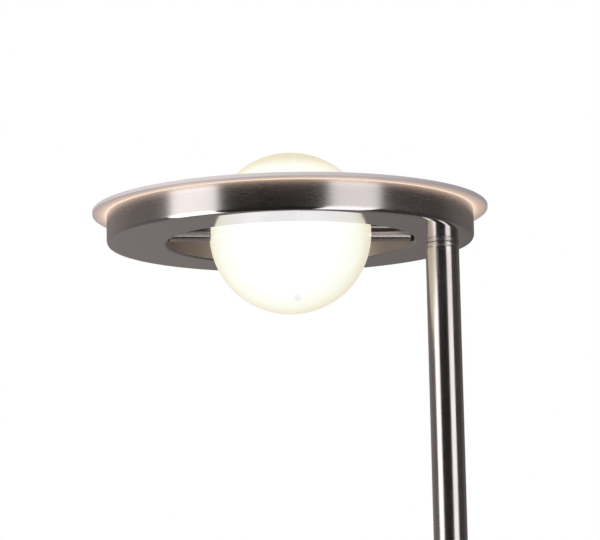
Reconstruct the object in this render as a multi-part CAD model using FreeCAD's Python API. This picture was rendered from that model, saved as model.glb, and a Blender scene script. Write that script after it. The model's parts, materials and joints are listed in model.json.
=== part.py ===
"""Torchiere floor lamp with a reading light: millimetres, +Z up, origin on the floor under the head's centre.

The head is a ring with an uplight in it. A globe, the reading light, turns on a rod across the ring's hole.
The pole stands off-centre, under the middle of the ring's width, and the base is centred under the head.
"""
import FreeCAD, Part
import math
import os
from FreeCAD import Vector

os.makedirs("parts", exist_ok=True)

# ------------------------------------------------------------------ driving dimensions (mm)
LAMP_HEIGHT = 1800.0        # floor to the globe's top
RUN = 0.05                  # radial clearance of a turning or sliding fit
PLAY = 0.05                 # radial clearance of a screw or plug in its hole
GAP = 0.3                   # least clearance between pieces on different bodies

RING_R = 136.0              # ring_tray: outside radius
HOLE_R = 92.0               # its hole
RING_HEIGHT = 22.0
SHEET = 1.2                 # sheet thickness of the tray
OUTER_LIP = 5.0             # return flanges that carry the diffuser
INNER_LIP = 9.0
RING_CORNER = 2.2           # outside radius of the lower outer corner
HOLE_CORNER = 0.6           # and of the lower inner corner
DIFFUSER_R = 146.5
DIFFUSER_THICK = 3.0
DIFFUSER_EDGE = 0.8         # rounding of its rim
TRIM_LEG = 1.6              # diffuser_trim: wall beside the hole
TRIM_GAP = 0.4              # the wall to the diffuser
TRIM_TOP = 1.0
TRIM_LAP = 9.5              # width on top of the diffuser
PEG_R = 1.2
PEG_COUNT = 4
PEG_REACH = 1.5             # below the tray's flange
PEG_PLACE = 0.65            # across the tray's inner flange

GLOBE_R = 60.0
GLOBE_WALL = 3.0
AIM_DEG = 32.0              # at rest the knob points this far forward of straight down
AXLE_R = 6.0                # the rod between the bushes
SPIGOT_R = 4.0              # its ends, in the bushes
AXLE_BORE_R = 2.5
AXLE_HEIGHT = 7.5           # its axis above the ring's underside
BUSH_WALL = 0.8
BUSH_FLANGE_R = 5.5
BUSH_FLANGE = 2.0           # thickness on the hole's side
WASHER_THICK = 0.6
AXLE_NUT_R = 5.6
AXLE_NUT_LENGTH = 3.9
NUT_SLOT = (1.2, 1.5)       # width, depth
BUSH_INSIDE = 1.0           # bush flange on the tray's side
STOP_PIN_R = 0.9
STOP_PIN_REACH = 5.9        # its tip from the axle's axis
PIN_EDGE = (0.5, 0.7)       # the pin's side to the nut and to the rod's end
STOP_BLOCK_WIDTH = 9.0
HUB_R = 11.0
HUB_LENGTH = 7.0
HUB_SCREW_BELOW = 0.6       # a grub screw's end below the hub's surface
HUB_SCREW_INWARD = 0.5      # its axis from the hub's middle, towards the globe's
KNOB_R = 3.2                # aiming_knob
KNOB_HEIGHT = 4.6
KNOB_STEM_R = 1.5
KNOB_ROUNDING = 0.8         # of its tip, as a part of its radius
SEAM_RING_WIDTH = 8.0
SEAM_RING_THICK = 1.5
SINK_WIDTH = 22.0           # reading_heat_sink, across flats
SINK_LENGTH = 64.0
SINK_CHAMFER = 3.0
SINK_BOARD_EDGE = (2.0, 3.0)            # bare flat at a board's ends and sides
READING_CHIP_PITCH = 8.0
READING_CHIP_COUNT = 7

POLE_X = 114.0              # the pole's axis from the head's centre
POLE_R = 12.5
POLE_WALL = 1.5
POLE_SECTIONS = 3
JOINER_LENGTH = 60.0
PLUG_LENGTH = 25.0
PLUG_SPARE = 3.0            # thread left free in a plug
FERRULE_HEIGHT = 3.5
FERRULE_CHAMFER = 0.5
NIPPLE_R = 5.0
NIPPLE_BORE_R = 3.4
NIPPLE_ABOVE_RING = 10.0    # head_nipple's end above the ring's underside
NUT_HEIGHT = 5.0
NUT_FLATS = 16.0
WASHER_R = 9.0
HEAD_WASHER_THICK = 1.5
LEAD_R = 2.5

CARRIER_HEIGHT = 14.0       # led_carrier above the ring's underside
CARRIER_THICK = 1.2
CARRIER_IN_R = 102.0
CARRIER_OUT_R = 130.0
WIRE_HOLE_R = 4.0           # in the carrier and its board, over the pole
BOARD_THICK = 1.0
BOARD_IN_R = 104.0
BOARD_OUT_R = 123.0
CHIP_SIZE = 3.5
CHIP_THICK = 0.8
CHIP_COUNT = 60
STANDOFF_COUNT = 6
STANDOFF_R = 2.8
STANDOFF_CIRCLE = 126.6
SCREW_R = 1.5
SCREW_HEAD_R = 2.5
SCREW_HEAD = 1.2
CARRIER_SCREW_LENGTH = 6.0
SCREW_SPARE = 1.0           # a screw hole's depth past its screw

BASE_R = 137.5
BASE_HEIGHT = 24.0          # floor to the cover's top
COVER_WALL = 1.2
COVER_CORNER = 4.0
COVER_LIFT = 1.5            # the cover's rim above the floor
FOOT_HEIGHT = 3.0
FOOT_WIDTH = 10.0
FOOT_CHAMFER = 0.6
PLATE_THICK = 1.5
PLATE_GAP = 0.4             # bottom_plate's edge to the cover
BALLAST_R = 130.0
BALLAST_THICK = 14.0
BOSS_R = 14.0
SUPPORT_R = 8.0             # bosses that hold the cover's top
SUPPORT_CIRCLE = 112.0
SUPPORT_COUNT = 3
DRIVER_HEIGHT = 16.0
UPLIGHT_DRIVER = (120.0, 42.0)
READING_DRIVER = (80.0, 36.0)
DRIVER_CORNER = 2.0
DRIVER_X = -25.0
DRIVER_Y = 52.0
TERMINAL = (30.0, 22.0, 12.0)
TERMINAL_X = 58.0
TERMINAL_HOLE_R = 1.8
TERMINAL_HOLE_DEPTH = 4.0
TERMINAL_PITCH = 9.0
WIRE_CHANNEL = 24.0         # width of the channel between the drivers and the terminal block
WIRE_CHANNEL_LAP = 2.0      # into the terminal block's pocket
POCKET_GAP = 0.6
LEAD_BEND_R = 8.0
LEAD_HEIGHT = 8.5           # the lead's axis above the floor, in the base
LEAD_SLOT = 9.0
LEAD_GUARD = 2.0            # the foot nipple's end below the start of the lead's bend
COLLAR_R = 19.0
COLLAR_HEIGHT = 10.0
COLLAR_CHAMFER = 1.2
GLAND_HEIGHT = 12.0
GLAND_BORE_R = 3.6
GLAND_SLEEVE_R = 5.2
GLAND_FLANGE_R = 7.5
GLAND_FLANGE = 3.0
GLAND_INSIDE = 4.0
GLAND_EDGE = 1.2
BASE_SCREW_R = 2.0
BASE_SCREW_CIRCLE = 108.0
BASE_SCREW_LENGTH = 8.0
BASE_SCREW_HEAD_R = 3.6
BASE_SCREW_HEAD = 1.2

CONTROL_HEIGHT = 1080.0     # the control box's middle above the floor
CONTROL_WIDTH = 30.0
CONTROL_LENGTH = 92.0
SADDLE_FRONT = 16.0         # control_base's front face from the pole's axis
SADDLE_BACK = 8.0
COVER_FRONT = 36.0
CONTROL_WALL = 2.0
CONTROL_FILLET = 3.0
KNOB_SPACING = 44.0
DIAL_R = 11.0               # the two dimmer knobs
DIAL_LENGTH = 12.0
DIAL_GROOVES = 36
DIAL_CHAMFER = 0.8
GROOVE_R = 0.55
GROOVE_OUT = 0.25           # a groove's axis outside the knob's rim
GROOVE_START = 1.5          # from the knob's back
POINTER_WIDTH = 1.0
POINTER_DEPTH = 0.6
POINTER_START = 4.0         # from the knob's axis
DIAL_BACK = 1.2             # knob's back to the cover
DIAL_BORE_END = 2.0         # knob's front skin over the shaft
RECESS_R = 7.0
RECESS_DEPTH = 3.4
BOARD_BEHIND = 2.4          # control_board's back from control_base
CONTROL_BOARD = (24.0, 62.0, 1.6)
ENCODER_SIZE = 12.0
ENCODER_DEPTH = 6.5
ENCODER_FLOOR = 0.8
ROTOR_R = 4.2
ROTOR_THICK = 1.8
ENCODER_BUSH_R = 4.2
ENCODER_BUSH_OUT = 2.4      # in front of the cover
ENCODER_NUT_R = 6.2
ENCODER_NUT_BEHIND = 0.4    # its front behind the bush's end
SHAFT_R = 3.0
SHAFT_BEHIND = 1.0          # the shaft's end behind its rotor, free to be pushed in
POLE_SCREW_SPACING = 76.0
POLE_SCREW_HEAD_R = 3.2
POLE_SCREW_HEAD = 1.8
POLE_WIRE_HOLE_R = 3.0
POST_R = 2.0                # the four posts under control_board, from its middle:
POST_X = 8.5
POST_Z = 27.0

# ------------------------------------------------------------------ places that follow from them
X, Y, Z = Vector(1, 0, 0), Vector(0, 1, 0), Vector(0, 0, 1)
AXLE_Z = LAMP_HEIGHT - GLOBE_R
RING_Z = AXLE_Z - AXLE_HEIGHT
RING_TOP = RING_Z + RING_HEIGHT
POLE_TOP = RING_Z - FERRULE_HEIGHT
SECTION = (POLE_TOP - BASE_HEIGHT) / POLE_SECTIONS
POLE_BORE_R = POLE_R - POLE_WALL
PLATE_TOP = FOOT_HEIGHT + PLATE_THICK
COVER_INSIDE = BASE_HEIGHT - COVER_WALL
LEAD_START_Z = LEAD_HEIGHT + LEAD_BEND_R
FOOT_NIPPLE_END = LEAD_START_Z - LEAD_GUARD
PLUG_DEPTH = PLUG_LENGTH - PLUG_SPARE    # how far a nipple screws into its plug
SHOULDER_X = HOLE_R - BUSH_FLANGE - GAP  # where the rod steps down to its spigot, from the centre
BUSH_END = HOLE_R + SHEET + BUSH_INSIDE
WASHER_X = BUSH_END + GAP
NUT_X = WASHER_X + WASHER_THICK
NUT_END = NUT_X + AXLE_NUT_LENGTH
STOP_X = NUT_END + STOP_PIN_R + PIN_EDGE[0]
AXLE_END = STOP_X + STOP_PIN_R + PIN_EDGE[1]
CARRIER_TOP = RING_Z + CARRIER_HEIGHT + CARRIER_THICK
BOARD_TOP = CARRIER_TOP + BOARD_THICK
GLOBE_BORE_R = GLOBE_R - GLOBE_WALL
CONTROL_BOARD_BACK = SADDLE_FRONT + BOARD_BEHIND
ENCODER_BACK = CONTROL_BOARD_BACK + CONTROL_BOARD[2]
ENCODER_FRONT = ENCODER_BACK + ENCODER_DEPTH
CAVITY_BACK = ENCODER_BACK + ENCODER_FLOOR
ROTOR_FRONT = ENCODER_FRONT - ENCODER_FLOOR - GAP
BUSH_TIP = COVER_FRONT + ENCODER_BUSH_OUT
DIAL_BACK_FACE = COVER_FRONT + DIAL_BACK
DIAL_FRONT = DIAL_BACK_FACE + DIAL_LENGTH
SHAFT_BACK = ROTOR_FRONT - ROTOR_THICK - SHAFT_BEHIND
DIAL_HEIGHTS = {"uplight": CONTROL_HEIGHT + KNOB_SPACING / 2, "reading": CONTROL_HEIGHT - KNOB_SPACING / 2}


# ------------------------------------------------------------------ helpers
def rod(radius, start, length, direction=Z):
    """A solid cylinder from start along direction."""
    return Part.makeCylinder(radius, length, start, direction)


def tube(outer, inner, start, length, direction=Z):
    return rod(outer, start, length, direction).cut(rod(inner, start, length, direction))


def ring(inner, outer, low, high, x=0.0):
    """A flat ring about a vertical axis at x."""
    return tube(outer, inner, Vector(x, 0, low), high - low)


def block(x_span, y_span, z_span):
    size = [span[1] - span[0] for span in (x_span, y_span, z_span)]
    return Part.makeBox(*size, Vector(x_span[0], y_span[0], z_span[0]))


def around(x, y, half_x, half_y, low, high):
    """A block centred at x, y."""
    return block((x - half_x, x + half_x), (y - half_y, y + half_y), (low, high))


def on_circle(count, radius, start_deg=0.0):
    """Points spread evenly on a circle about the origin."""
    angles = [math.radians(start_deg + 360.0 * i / count) for i in range(count)]
    return [Vector(radius * math.cos(a), radius * math.sin(a), 0) for a in angles]


def circles_at(shape, radius, height):
    """The shape's round edges of one radius and height about a vertical axis."""
    found = []
    for edge in shape.Edges:
        curve = edge.Curve
        if isinstance(curve, Part.Circle) and abs(curve.Radius - radius) < 1e-4:
            if abs(curve.Center.z - height) < 1e-4:
                found.append(edge)
    return found


def long_edges(shape, direction):
    """The shape's straight edges along one direction."""
    lines = [e for e in shape.Edges if isinstance(e.Curve, Part.Line)]
    return [e for e in lines if abs(abs(e.Curve.Direction.dot(direction)) - 1) < 1e-6]


def ball(radius):
    """A sphere about the origin with its poles on the X axis, where the rod goes through."""
    return Part.makeSphere(radius, Vector(0, 0, 0), X)


def hex_nut(flats, height, start, bore):
    corner = flats / math.sqrt(3)
    points = [start + p for p in on_circle(6, corner, 30)]
    face = Part.Face(Part.makePolygon(points + points[:1]))
    return face.extrude(Vector(0, 0, height)).cut(rod(bore, start, height))


def save(node, shape):
    """Writes one sub-part, which may be a group of separate solids."""
    solids = shape.Solids
    assert solids and shape.isValid(), node
    whole = solids[0] if len(solids) == 1 else Part.makeCompound(solids)
    whole.exportStep("parts/%s.step" % node)
    print("%-20s %2d solid(s) %12.1f mm3" % (node, len(solids), whole.Volume))


def group(shapes):
    return Part.makeCompound([solid for shape in shapes for solid in shape.Solids])


def aimed(shape):
    """Places a reading-light piece, drawn about the origin with its knob straight down."""
    placed = shape.copy()
    placed.rotate(Vector(0, 0, 0), X, -AIM_DEG)
    placed.translate(Vector(0, 0, AXLE_Z))
    return placed


def both_ends(make):
    """The same piece at the rod's two ends."""
    return group([make(side) for side in (-1, 1)])


# ------------------------------------------------------------------ base
def foot_ring():
    """Rubber ring that the lamp stands on, under the plate's edge."""
    inner = BALLAST_R - FOOT_WIDTH
    shape = ring(inner, BALLAST_R, 0, FOOT_HEIGHT)
    return shape.makeChamfer(FOOT_CHAMFER, circles_at(shape, BALLAST_R, 0) + circles_at(shape, inner, 0))


def base_screw_points():
    return on_circle(4, BASE_SCREW_CIRCLE, 45)


def bottom_plate():
    radius = BASE_R - COVER_WALL - PLATE_GAP
    plate = rod(radius, Vector(0, 0, FOOT_HEIGHT), PLATE_THICK)
    for point in base_screw_points():
        plate = plate.cut(rod(BASE_SCREW_R + PLAY, point, PLATE_TOP))
    return plate


def base_screws():
    screws = []
    for point in base_screw_points():
        seat = point + Vector(0, 0, FOOT_HEIGHT)
        shank = rod(BASE_SCREW_R, seat, BASE_SCREW_LENGTH)
        screws.append(rod(BASE_SCREW_HEAD_R, seat, BASE_SCREW_HEAD, -Z).fuse(shank))
    return group(screws)


def gland_hole(radius):
    """A cutter through the base's back wall, where the mains cord comes in."""
    start = BALLAST_R - LEAD_SLOT
    return rod(radius, Vector(0, start, GLAND_HEIGHT), BASE_R + GLAND_FLANGE - start, Y)


def lead_slot():
    """The open channel in the ballast from under the pole to the terminal block."""
    return block((TERMINAL_X, POLE_X + LEAD_SLOT / 2), (-LEAD_SLOT / 2, LEAD_SLOT / 2),
                 (PLATE_TOP, LEAD_HEIGHT + 2 * LEAD_R))


def ballast_plate():
    """Cast weight: a boss that carries the pole, supports under the cover, and pockets for the electrics."""
    height = COVER_INSIDE - PLATE_TOP
    body = rod(BALLAST_R, Vector(0, 0, PLATE_TOP), BALLAST_THICK)
    body = body.fuse(rod(BOSS_R, Vector(POLE_X, 0, PLATE_TOP), height))
    for point in on_circle(SUPPORT_COUNT, SUPPORT_CIRCLE, 60):
        body = body.fuse(rod(SUPPORT_R, point + Vector(0, 0, PLATE_TOP), height))
    body = body.common(rod(BALLAST_R, Vector(0, 0, 0), BASE_HEIGHT))
    for half, y in ((UPLIGHT_DRIVER, DRIVER_Y), (READING_DRIVER, -DRIVER_Y)):
        body = body.cut(around(DRIVER_X, y, half[0] / 2 + POCKET_GAP, half[1] / 2 + POCKET_GAP, 0, BASE_HEIGHT))
    body = body.cut(around(TERMINAL_X, 0, TERMINAL[0] / 2 + POCKET_GAP, TERMINAL[1] / 2 + POCKET_GAP,
                           0, BASE_HEIGHT))
    channel_x = TERMINAL_X - TERMINAL[0] / 2 - WIRE_CHANNEL / 2 + WIRE_CHANNEL_LAP
    body = body.cut(around(channel_x, 0, WIRE_CHANNEL / 2, DRIVER_Y, LEAD_HEIGHT, BASE_HEIGHT))
    body = body.cut(block((-LEAD_SLOT / 2, LEAD_SLOT / 2), (DRIVER_Y, BALLAST_R), (LEAD_HEIGHT - 1, BASE_HEIGHT)))
    body = body.cut(lead_slot())
    body = body.cut(rod(NIPPLE_R + PLAY, Vector(POLE_X, 0, 0), BASE_HEIGHT))
    for point in base_screw_points():
        body = body.cut(rod(BASE_SCREW_R + PLAY, point, FOOT_HEIGHT + BASE_SCREW_LENGTH + SCREW_SPARE))
    return body


def base_cover():
    """Spun shell with a rounded top edge, open below."""
    outside = rod(BASE_R, Vector(0, 0, COVER_LIFT), BASE_HEIGHT - COVER_LIFT)
    outside = outside.makeFillet(COVER_CORNER, circles_at(outside, BASE_R, BASE_HEIGHT))
    bore = BASE_R - COVER_WALL
    inside = rod(bore, Vector(0, 0, COVER_LIFT), COVER_INSIDE - COVER_LIFT)
    inside = inside.makeFillet(COVER_CORNER - COVER_WALL, circles_at(inside, bore, COVER_INSIDE))
    shell = outside.cut(inside)
    shell = shell.cut(rod(NIPPLE_R + PLAY, Vector(POLE_X, 0, 0), BASE_HEIGHT))
    return shell.cut(gland_hole(GLAND_SLEEVE_R + PLAY))


def cord_gland():
    """Inlet bush: a domed flange outside, a sleeve through the wall and a flange inside."""
    outer_y = BASE_R + GLAND_FLANGE
    inner_y = BASE_R - COVER_WALL - GLAND_INSIDE
    start = Vector(0, inner_y, GLAND_HEIGHT)
    flange = rod(GLAND_FLANGE_R, start, outer_y - inner_y, Y)
    flange = flange.makeFillet(GLAND_EDGE, [e for e in flange.Edges if e.BoundBox.YMin > outer_y - 1e-3])
    wall = ring(BASE_R - COVER_WALL, BASE_R, 0, BASE_HEIGHT)
    body = flange.cut(wall).fuse(rod(GLAND_SLEEVE_R, start, outer_y - inner_y - 1, Y))
    return body.cut(rod(GLAND_BORE_R, start, outer_y - inner_y, Y))


def driver(size, y):
    """A potted driver standing on the bottom plate."""
    box = around(DRIVER_X, y, size[0] / 2, size[1] / 2, PLATE_TOP, PLATE_TOP + DRIVER_HEIGHT)
    return box.makeFillet(DRIVER_CORNER, long_edges(box, Z))


def terminal_block():
    box = around(TERMINAL_X, 0, TERMINAL[0] / 2, TERMINAL[1] / 2, PLATE_TOP, PLATE_TOP + TERMINAL[2])
    for step in (-1, 0, 1):
        floor = PLATE_TOP + TERMINAL[2] - TERMINAL_HOLE_DEPTH
        box = box.cut(rod(TERMINAL_HOLE_R, Vector(TERMINAL_X + step * TERMINAL_PITCH, 0, floor), TERMINAL[2]))
    return box


def base_collar():
    collar = ring(POLE_R + PLAY, COLLAR_R, BASE_HEIGHT, BASE_HEIGHT + COLLAR_HEIGHT, POLE_X)
    return collar.makeChamfer(COLLAR_CHAMFER, circles_at(collar, COLLAR_R, BASE_HEIGHT + COLLAR_HEIGHT))


# ------------------------------------------------------------------ pole
def control_cutters():
    """Holes in the pole behind the control box: two screws and the wires."""
    holes = [rod(POLE_WIRE_HOLE_R, Vector(POLE_X, 0, CONTROL_HEIGHT), COVER_FRONT, -Y)]
    for sign in (-1, 1):
        point = Vector(POLE_X, 0, CONTROL_HEIGHT + sign * POLE_SCREW_SPACING / 2)
        holes.append(rod(BASE_SCREW_R + PLAY, point, COVER_FRONT, -Y))
    return group(holes)


def pole_section(index):
    low = BASE_HEIGHT + index * SECTION
    section = ring(POLE_BORE_R, POLE_R, low, low + SECTION, POLE_X)
    return section.cut(control_cutters())


def joiner(index):
    """A sleeve inside the joint between two pole sections."""
    middle = BASE_HEIGHT + (index + 1) * SECTION
    low = middle - JOINER_LENGTH / 2
    return ring(NIPPLE_BORE_R, POLE_BORE_R - PLAY, low, low + JOINER_LENGTH, POLE_X)


def pole_plug(low):
    return ring(NIPPLE_R + PLAY, POLE_BORE_R - PLAY, low, low + PLUG_LENGTH, POLE_X)


def nipple(low, high):
    return ring(NIPPLE_BORE_R, NIPPLE_R, low, high, POLE_X)


def pole_ferrule():
    ferrule = ring(NIPPLE_R + PLAY, POLE_R, POLE_TOP, RING_Z, POLE_X)
    edges = circles_at(ferrule, POLE_R, POLE_TOP) + circles_at(ferrule, POLE_R, RING_Z)
    return ferrule.makeChamfer(FERRULE_CHAMFER, edges)


def pole_lead():
    """The lead down the pole, round a bend in the base and into the terminal block."""
    end_x = TERMINAL_X + TERMINAL[0] / 2
    top = Vector(POLE_X, 0, RING_Z + NIPPLE_ABOVE_RING)
    bend_start = Vector(POLE_X, 0, LEAD_START_Z)
    bend_end = Vector(POLE_X - LEAD_BEND_R, 0, LEAD_HEIGHT)
    reach = LEAD_BEND_R * (1 - math.sqrt(0.5))
    bend_middle = Vector(POLE_X - reach, 0, LEAD_HEIGHT + reach)
    path = Part.Wire([Part.LineSegment(top, bend_start).toShape(),
                      Part.Arc(bend_start, bend_middle, bend_end).toShape(),
                      Part.LineSegment(bend_end, Vector(end_x, 0, LEAD_HEIGHT)).toShape()])
    section = Part.Wire([Part.makeCircle(LEAD_R, top, Z)])
    return path.makePipeShell([section], True, False)


# ------------------------------------------------------------------ control box on the pole
def at_control(y, z=0.0, x=0.0):
    """A point y in front of the pole's axis and z above the box's middle."""
    return Vector(POLE_X + x, -y, CONTROL_HEIGHT + z)


def front_block(width, length, back, front):
    """A block on the pole's front, between two distances from its axis."""
    low = at_control(front, -length / 2, -width / 2)
    return Part.makeBox(width, front - back, length, low)


def control_base():
    """Cast saddle between the pole and the box, with four board posts."""
    saddle = front_block(CONTROL_WIDTH, CONTROL_LENGTH, SADDLE_BACK, SADDLE_FRONT)
    for x in (-1, 1):
        for z in (-1, 1):
            post = at_control(SADDLE_FRONT, z * POST_Z, x * POST_X)
            saddle = saddle.fuse(rod(POST_R, post, BOARD_BEHIND, -Y))
    saddle = saddle.cut(rod(POLE_R, Vector(POLE_X, 0, CONTROL_HEIGHT - CONTROL_LENGTH), 2 * CONTROL_LENGTH))
    return saddle.cut(control_cutters())


def control_screws():
    screws = []
    for sign in (-1, 1):
        point = at_control(SADDLE_FRONT, sign * POLE_SCREW_SPACING / 2)
        shank = rod(BASE_SCREW_R, point, SADDLE_FRONT - POLE_BORE_R + POLE_WALL, Y)
        screws.append(rod(POLE_SCREW_HEAD_R, point, POLE_SCREW_HEAD, -Y).fuse(shank))
    return group(screws)


def control_board():
    return front_block(CONTROL_BOARD[0], CONTROL_BOARD[1], CONTROL_BOARD_BACK, ENCODER_BACK)


def control_cover():
    """Front shell with rounded edges, open at the back."""
    outside = front_block(CONTROL_WIDTH, CONTROL_LENGTH, SADDLE_FRONT, COVER_FRONT)
    rounded = [e for e in outside.Edges if e.BoundBox.YMin < -SADDLE_FRONT - 1e-3]
    outside = outside.makeFillet(CONTROL_FILLET, rounded)
    inside = front_block(CONTROL_WIDTH - 2 * CONTROL_WALL, CONTROL_LENGTH - 2 * CONTROL_WALL,
                         SADDLE_FRONT, COVER_FRONT - CONTROL_WALL)
    shell = outside.cut(inside)
    for height in DIAL_HEIGHTS.values():
        point = Vector(POLE_X, -SADDLE_FRONT, height)
        shell = shell.cut(rod(ENCODER_BUSH_R + PLAY, point, COVER_FRONT, -Y))
    return shell


def encoder(height):
    """Housing and threaded bush of one dimmer, with a hollow for its rotor."""
    centre = Vector(POLE_X, 0, height)
    half = ENCODER_SIZE / 2
    body = block((POLE_X - half, POLE_X + half), (-ENCODER_FRONT, -ENCODER_BACK), (height - half, height + half))
    body = body.fuse(rod(ENCODER_BUSH_R, centre - Y * ENCODER_FRONT, BUSH_TIP - ENCODER_FRONT, -Y))
    hollow = rod(ROTOR_R + GAP, centre - Y * CAVITY_BACK, ENCODER_DEPTH - 2 * ENCODER_FLOOR, -Y)
    return body.cut(hollow).cut(rod(SHAFT_R + RUN, centre - Y * CAVITY_BACK, BUSH_TIP, -Y))


def rotor(height):
    centre = Vector(POLE_X, 0, height)
    return tube(ROTOR_R, SHAFT_R + RUN, centre - Y * ROTOR_FRONT, ROTOR_THICK, Y)


def encoder_nuts():
    nuts = []
    for height in DIAL_HEIGHTS.values():
        start = Vector(POLE_X, -COVER_FRONT, height)
        nuts.append(tube(ENCODER_NUT_R, ENCODER_BUSH_R + PLAY, start, ENCODER_BUSH_OUT - ENCODER_NUT_BEHIND, -Y))
    return group(nuts)


def shaft(height):
    start = Vector(POLE_X, -SHAFT_BACK, height)
    return rod(SHAFT_R, start, DIAL_FRONT - DIAL_BORE_END - SHAFT_BACK, -Y)


def dial(height):
    """Dimmer knob: grooved rim, recess over the nut, and a pointer slot in its face."""
    back = Vector(POLE_X, -DIAL_BACK_FACE, height)
    knob = rod(DIAL_R, back, DIAL_LENGTH, -Y)
    knob = knob.makeChamfer(DIAL_CHAMFER, [e for e in knob.Edges if e.BoundBox.YMax < -DIAL_FRONT + 1e-3])
    knob = knob.cut(rod(RECESS_R, back, RECESS_DEPTH, -Y))
    knob = knob.cut(rod(SHAFT_R, back, DIAL_LENGTH - DIAL_BORE_END, -Y))
    grooves = []
    for point in on_circle(DIAL_GROOVES, DIAL_R + GROOVE_OUT):
        start = Vector(POLE_X + point.x, -DIAL_BACK_FACE - GROOVE_START, height + point.y)
        grooves.append(rod(GROOVE_R, start, DIAL_LENGTH, -Y))
    half = POINTER_WIDTH / 2
    slot = block((POLE_X - half, POLE_X + half), (-DIAL_FRONT, -DIAL_FRONT + POINTER_DEPTH),
                 (height + POINTER_START, height + DIAL_R))
    return knob.cut(group(grooves)).cut(slot)


# ------------------------------------------------------------------ head
def above_ring(height):
    return Vector(0, 0, RING_Z + height)


def wall_holes(radius):
    """A cutter along the rod's axis, through both sides of the hole's wall."""
    return rod(radius, Vector(-RING_R + OUTER_LIP, 0, AXLE_Z), 2 * (RING_R - OUTER_LIP), X)


def ring_tray():
    """Channel ring: rounded lower corner, open top with return flanges that carry the diffuser."""
    body = ring(HOLE_R, RING_R, RING_Z, RING_TOP)
    body = body.makeFillet(RING_CORNER, circles_at(body, RING_R, RING_Z))
    body = body.makeFillet(HOLE_CORNER, circles_at(body, HOLE_R, RING_Z))
    hollow = ring(HOLE_R + SHEET, RING_R - SHEET, RING_Z + SHEET, RING_TOP - SHEET)
    hollow = hollow.makeFillet(RING_CORNER - SHEET, circles_at(hollow, RING_R - SHEET, RING_Z + SHEET))
    mouth = ring(HOLE_R + INNER_LIP, RING_R - OUTER_LIP, RING_TOP - 2 * SHEET, RING_TOP)
    body = body.cut(hollow).cut(mouth)
    body = body.cut(rod(NIPPLE_R + PLAY, Vector(POLE_X, 0, RING_Z), SHEET + 1))
    body = body.cut(wall_holes(SPIGOT_R + RUN + BUSH_WALL))
    for point in peg_points():
        body = body.cut(rod(PEG_R + PLAY, point + above_ring(RING_HEIGHT - 2 * SHEET), 3 * SHEET))
    return body


def peg_points():
    return on_circle(PEG_COUNT, HOLE_R + INNER_LIP * PEG_PLACE, 45)


def standoff_points():
    return on_circle(STANDOFF_COUNT, STANDOFF_CIRCLE, 30)


def led_standoffs():
    posts = []
    for point in standoff_points():
        start = point + above_ring(SHEET)
        length, depth = CARRIER_HEIGHT - SHEET, CARRIER_SCREW_LENGTH + SCREW_SPARE
        posts.append(rod(STANDOFF_R, start, length).cut(rod(SCREW_R + PLAY, start + Z * (length - depth), depth)))
    return group(posts)


def carrier_screws():
    screws = []
    for point in standoff_points():
        seat = point + Vector(0, 0, CARRIER_TOP)
        shank = rod(SCREW_R, seat, CARRIER_SCREW_LENGTH, -Z)
        screws.append(rod(SCREW_HEAD_R, seat, SCREW_HEAD).fuse(shank))
    return group(screws)


def led_carrier():
    """Ring plate that the LED board is fixed to, with a hole for the wires over the pole."""
    plate = ring(CARRIER_IN_R, CARRIER_OUT_R, CARRIER_TOP - CARRIER_THICK, CARRIER_TOP)
    for point in standoff_points():
        plate = plate.cut(rod(SCREW_R + PLAY, point + above_ring(0), RING_HEIGHT))
    return plate.cut(rod(WIRE_HOLE_R, Vector(POLE_X, 0, RING_Z), RING_HEIGHT))


def led_board():
    board = ring(BOARD_IN_R, BOARD_OUT_R, CARRIER_TOP, BOARD_TOP)
    return board.cut(rod(WIRE_HOLE_R, Vector(POLE_X, 0, RING_Z), RING_HEIGHT))


def led_chips():
    """Square LED chips in one circle, none over the wire hole."""
    middle = (BOARD_IN_R + BOARD_OUT_R) / 2
    chips = []
    for index in range(CHIP_COUNT):
        half = CHIP_SIZE / 2
        chip = block((middle - half, middle + half), (-half, half), (BOARD_TOP, BOARD_TOP + CHIP_THICK))
        chip.rotate(Vector(0, 0, 0), Z, 360.0 * (index + 0.5) / CHIP_COUNT)
        if (chip.CenterOfMass - Vector(POLE_X, 0, chip.CenterOfMass.z)).Length > CHIP_SIZE + WIRE_HOLE_R:
            chips.append(chip)
    return group(chips)


def diffuser_plate():
    """Frosted ring plate, wider than the tray, with a rounded rim."""
    plate = ring(HOLE_R + TRIM_LEG + TRIM_GAP, DIFFUSER_R, RING_TOP, RING_TOP + DIFFUSER_THICK)
    rim = circles_at(plate, DIFFUSER_R, RING_TOP) + circles_at(plate, DIFFUSER_R, RING_TOP + DIFFUSER_THICK)
    plate = plate.makeFillet(min(DIFFUSER_EDGE, 0.45 * DIFFUSER_THICK), rim)
    for point in peg_points():
        plate = plate.cut(rod(PEG_R + 3 * PLAY, point + above_ring(RING_HEIGHT), DIFFUSER_THICK))
    return plate


def diffuser_trim():
    """Black ring over the diffuser's inner edge, with pegs down through the tray's flange."""
    top = RING_TOP + DIFFUSER_THICK
    trim = ring(HOLE_R, HOLE_R + TRIM_LEG, RING_TOP, top + TRIM_TOP)
    trim = trim.fuse(ring(HOLE_R, HOLE_R + TRIM_LAP, top, top + TRIM_TOP))
    for point in peg_points():
        low = RING_TOP - SHEET - PEG_REACH
        trim = trim.fuse(rod(PEG_R, point + Vector(0, 0, low), top - low + TRIM_TOP / 2))
    return trim


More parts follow.
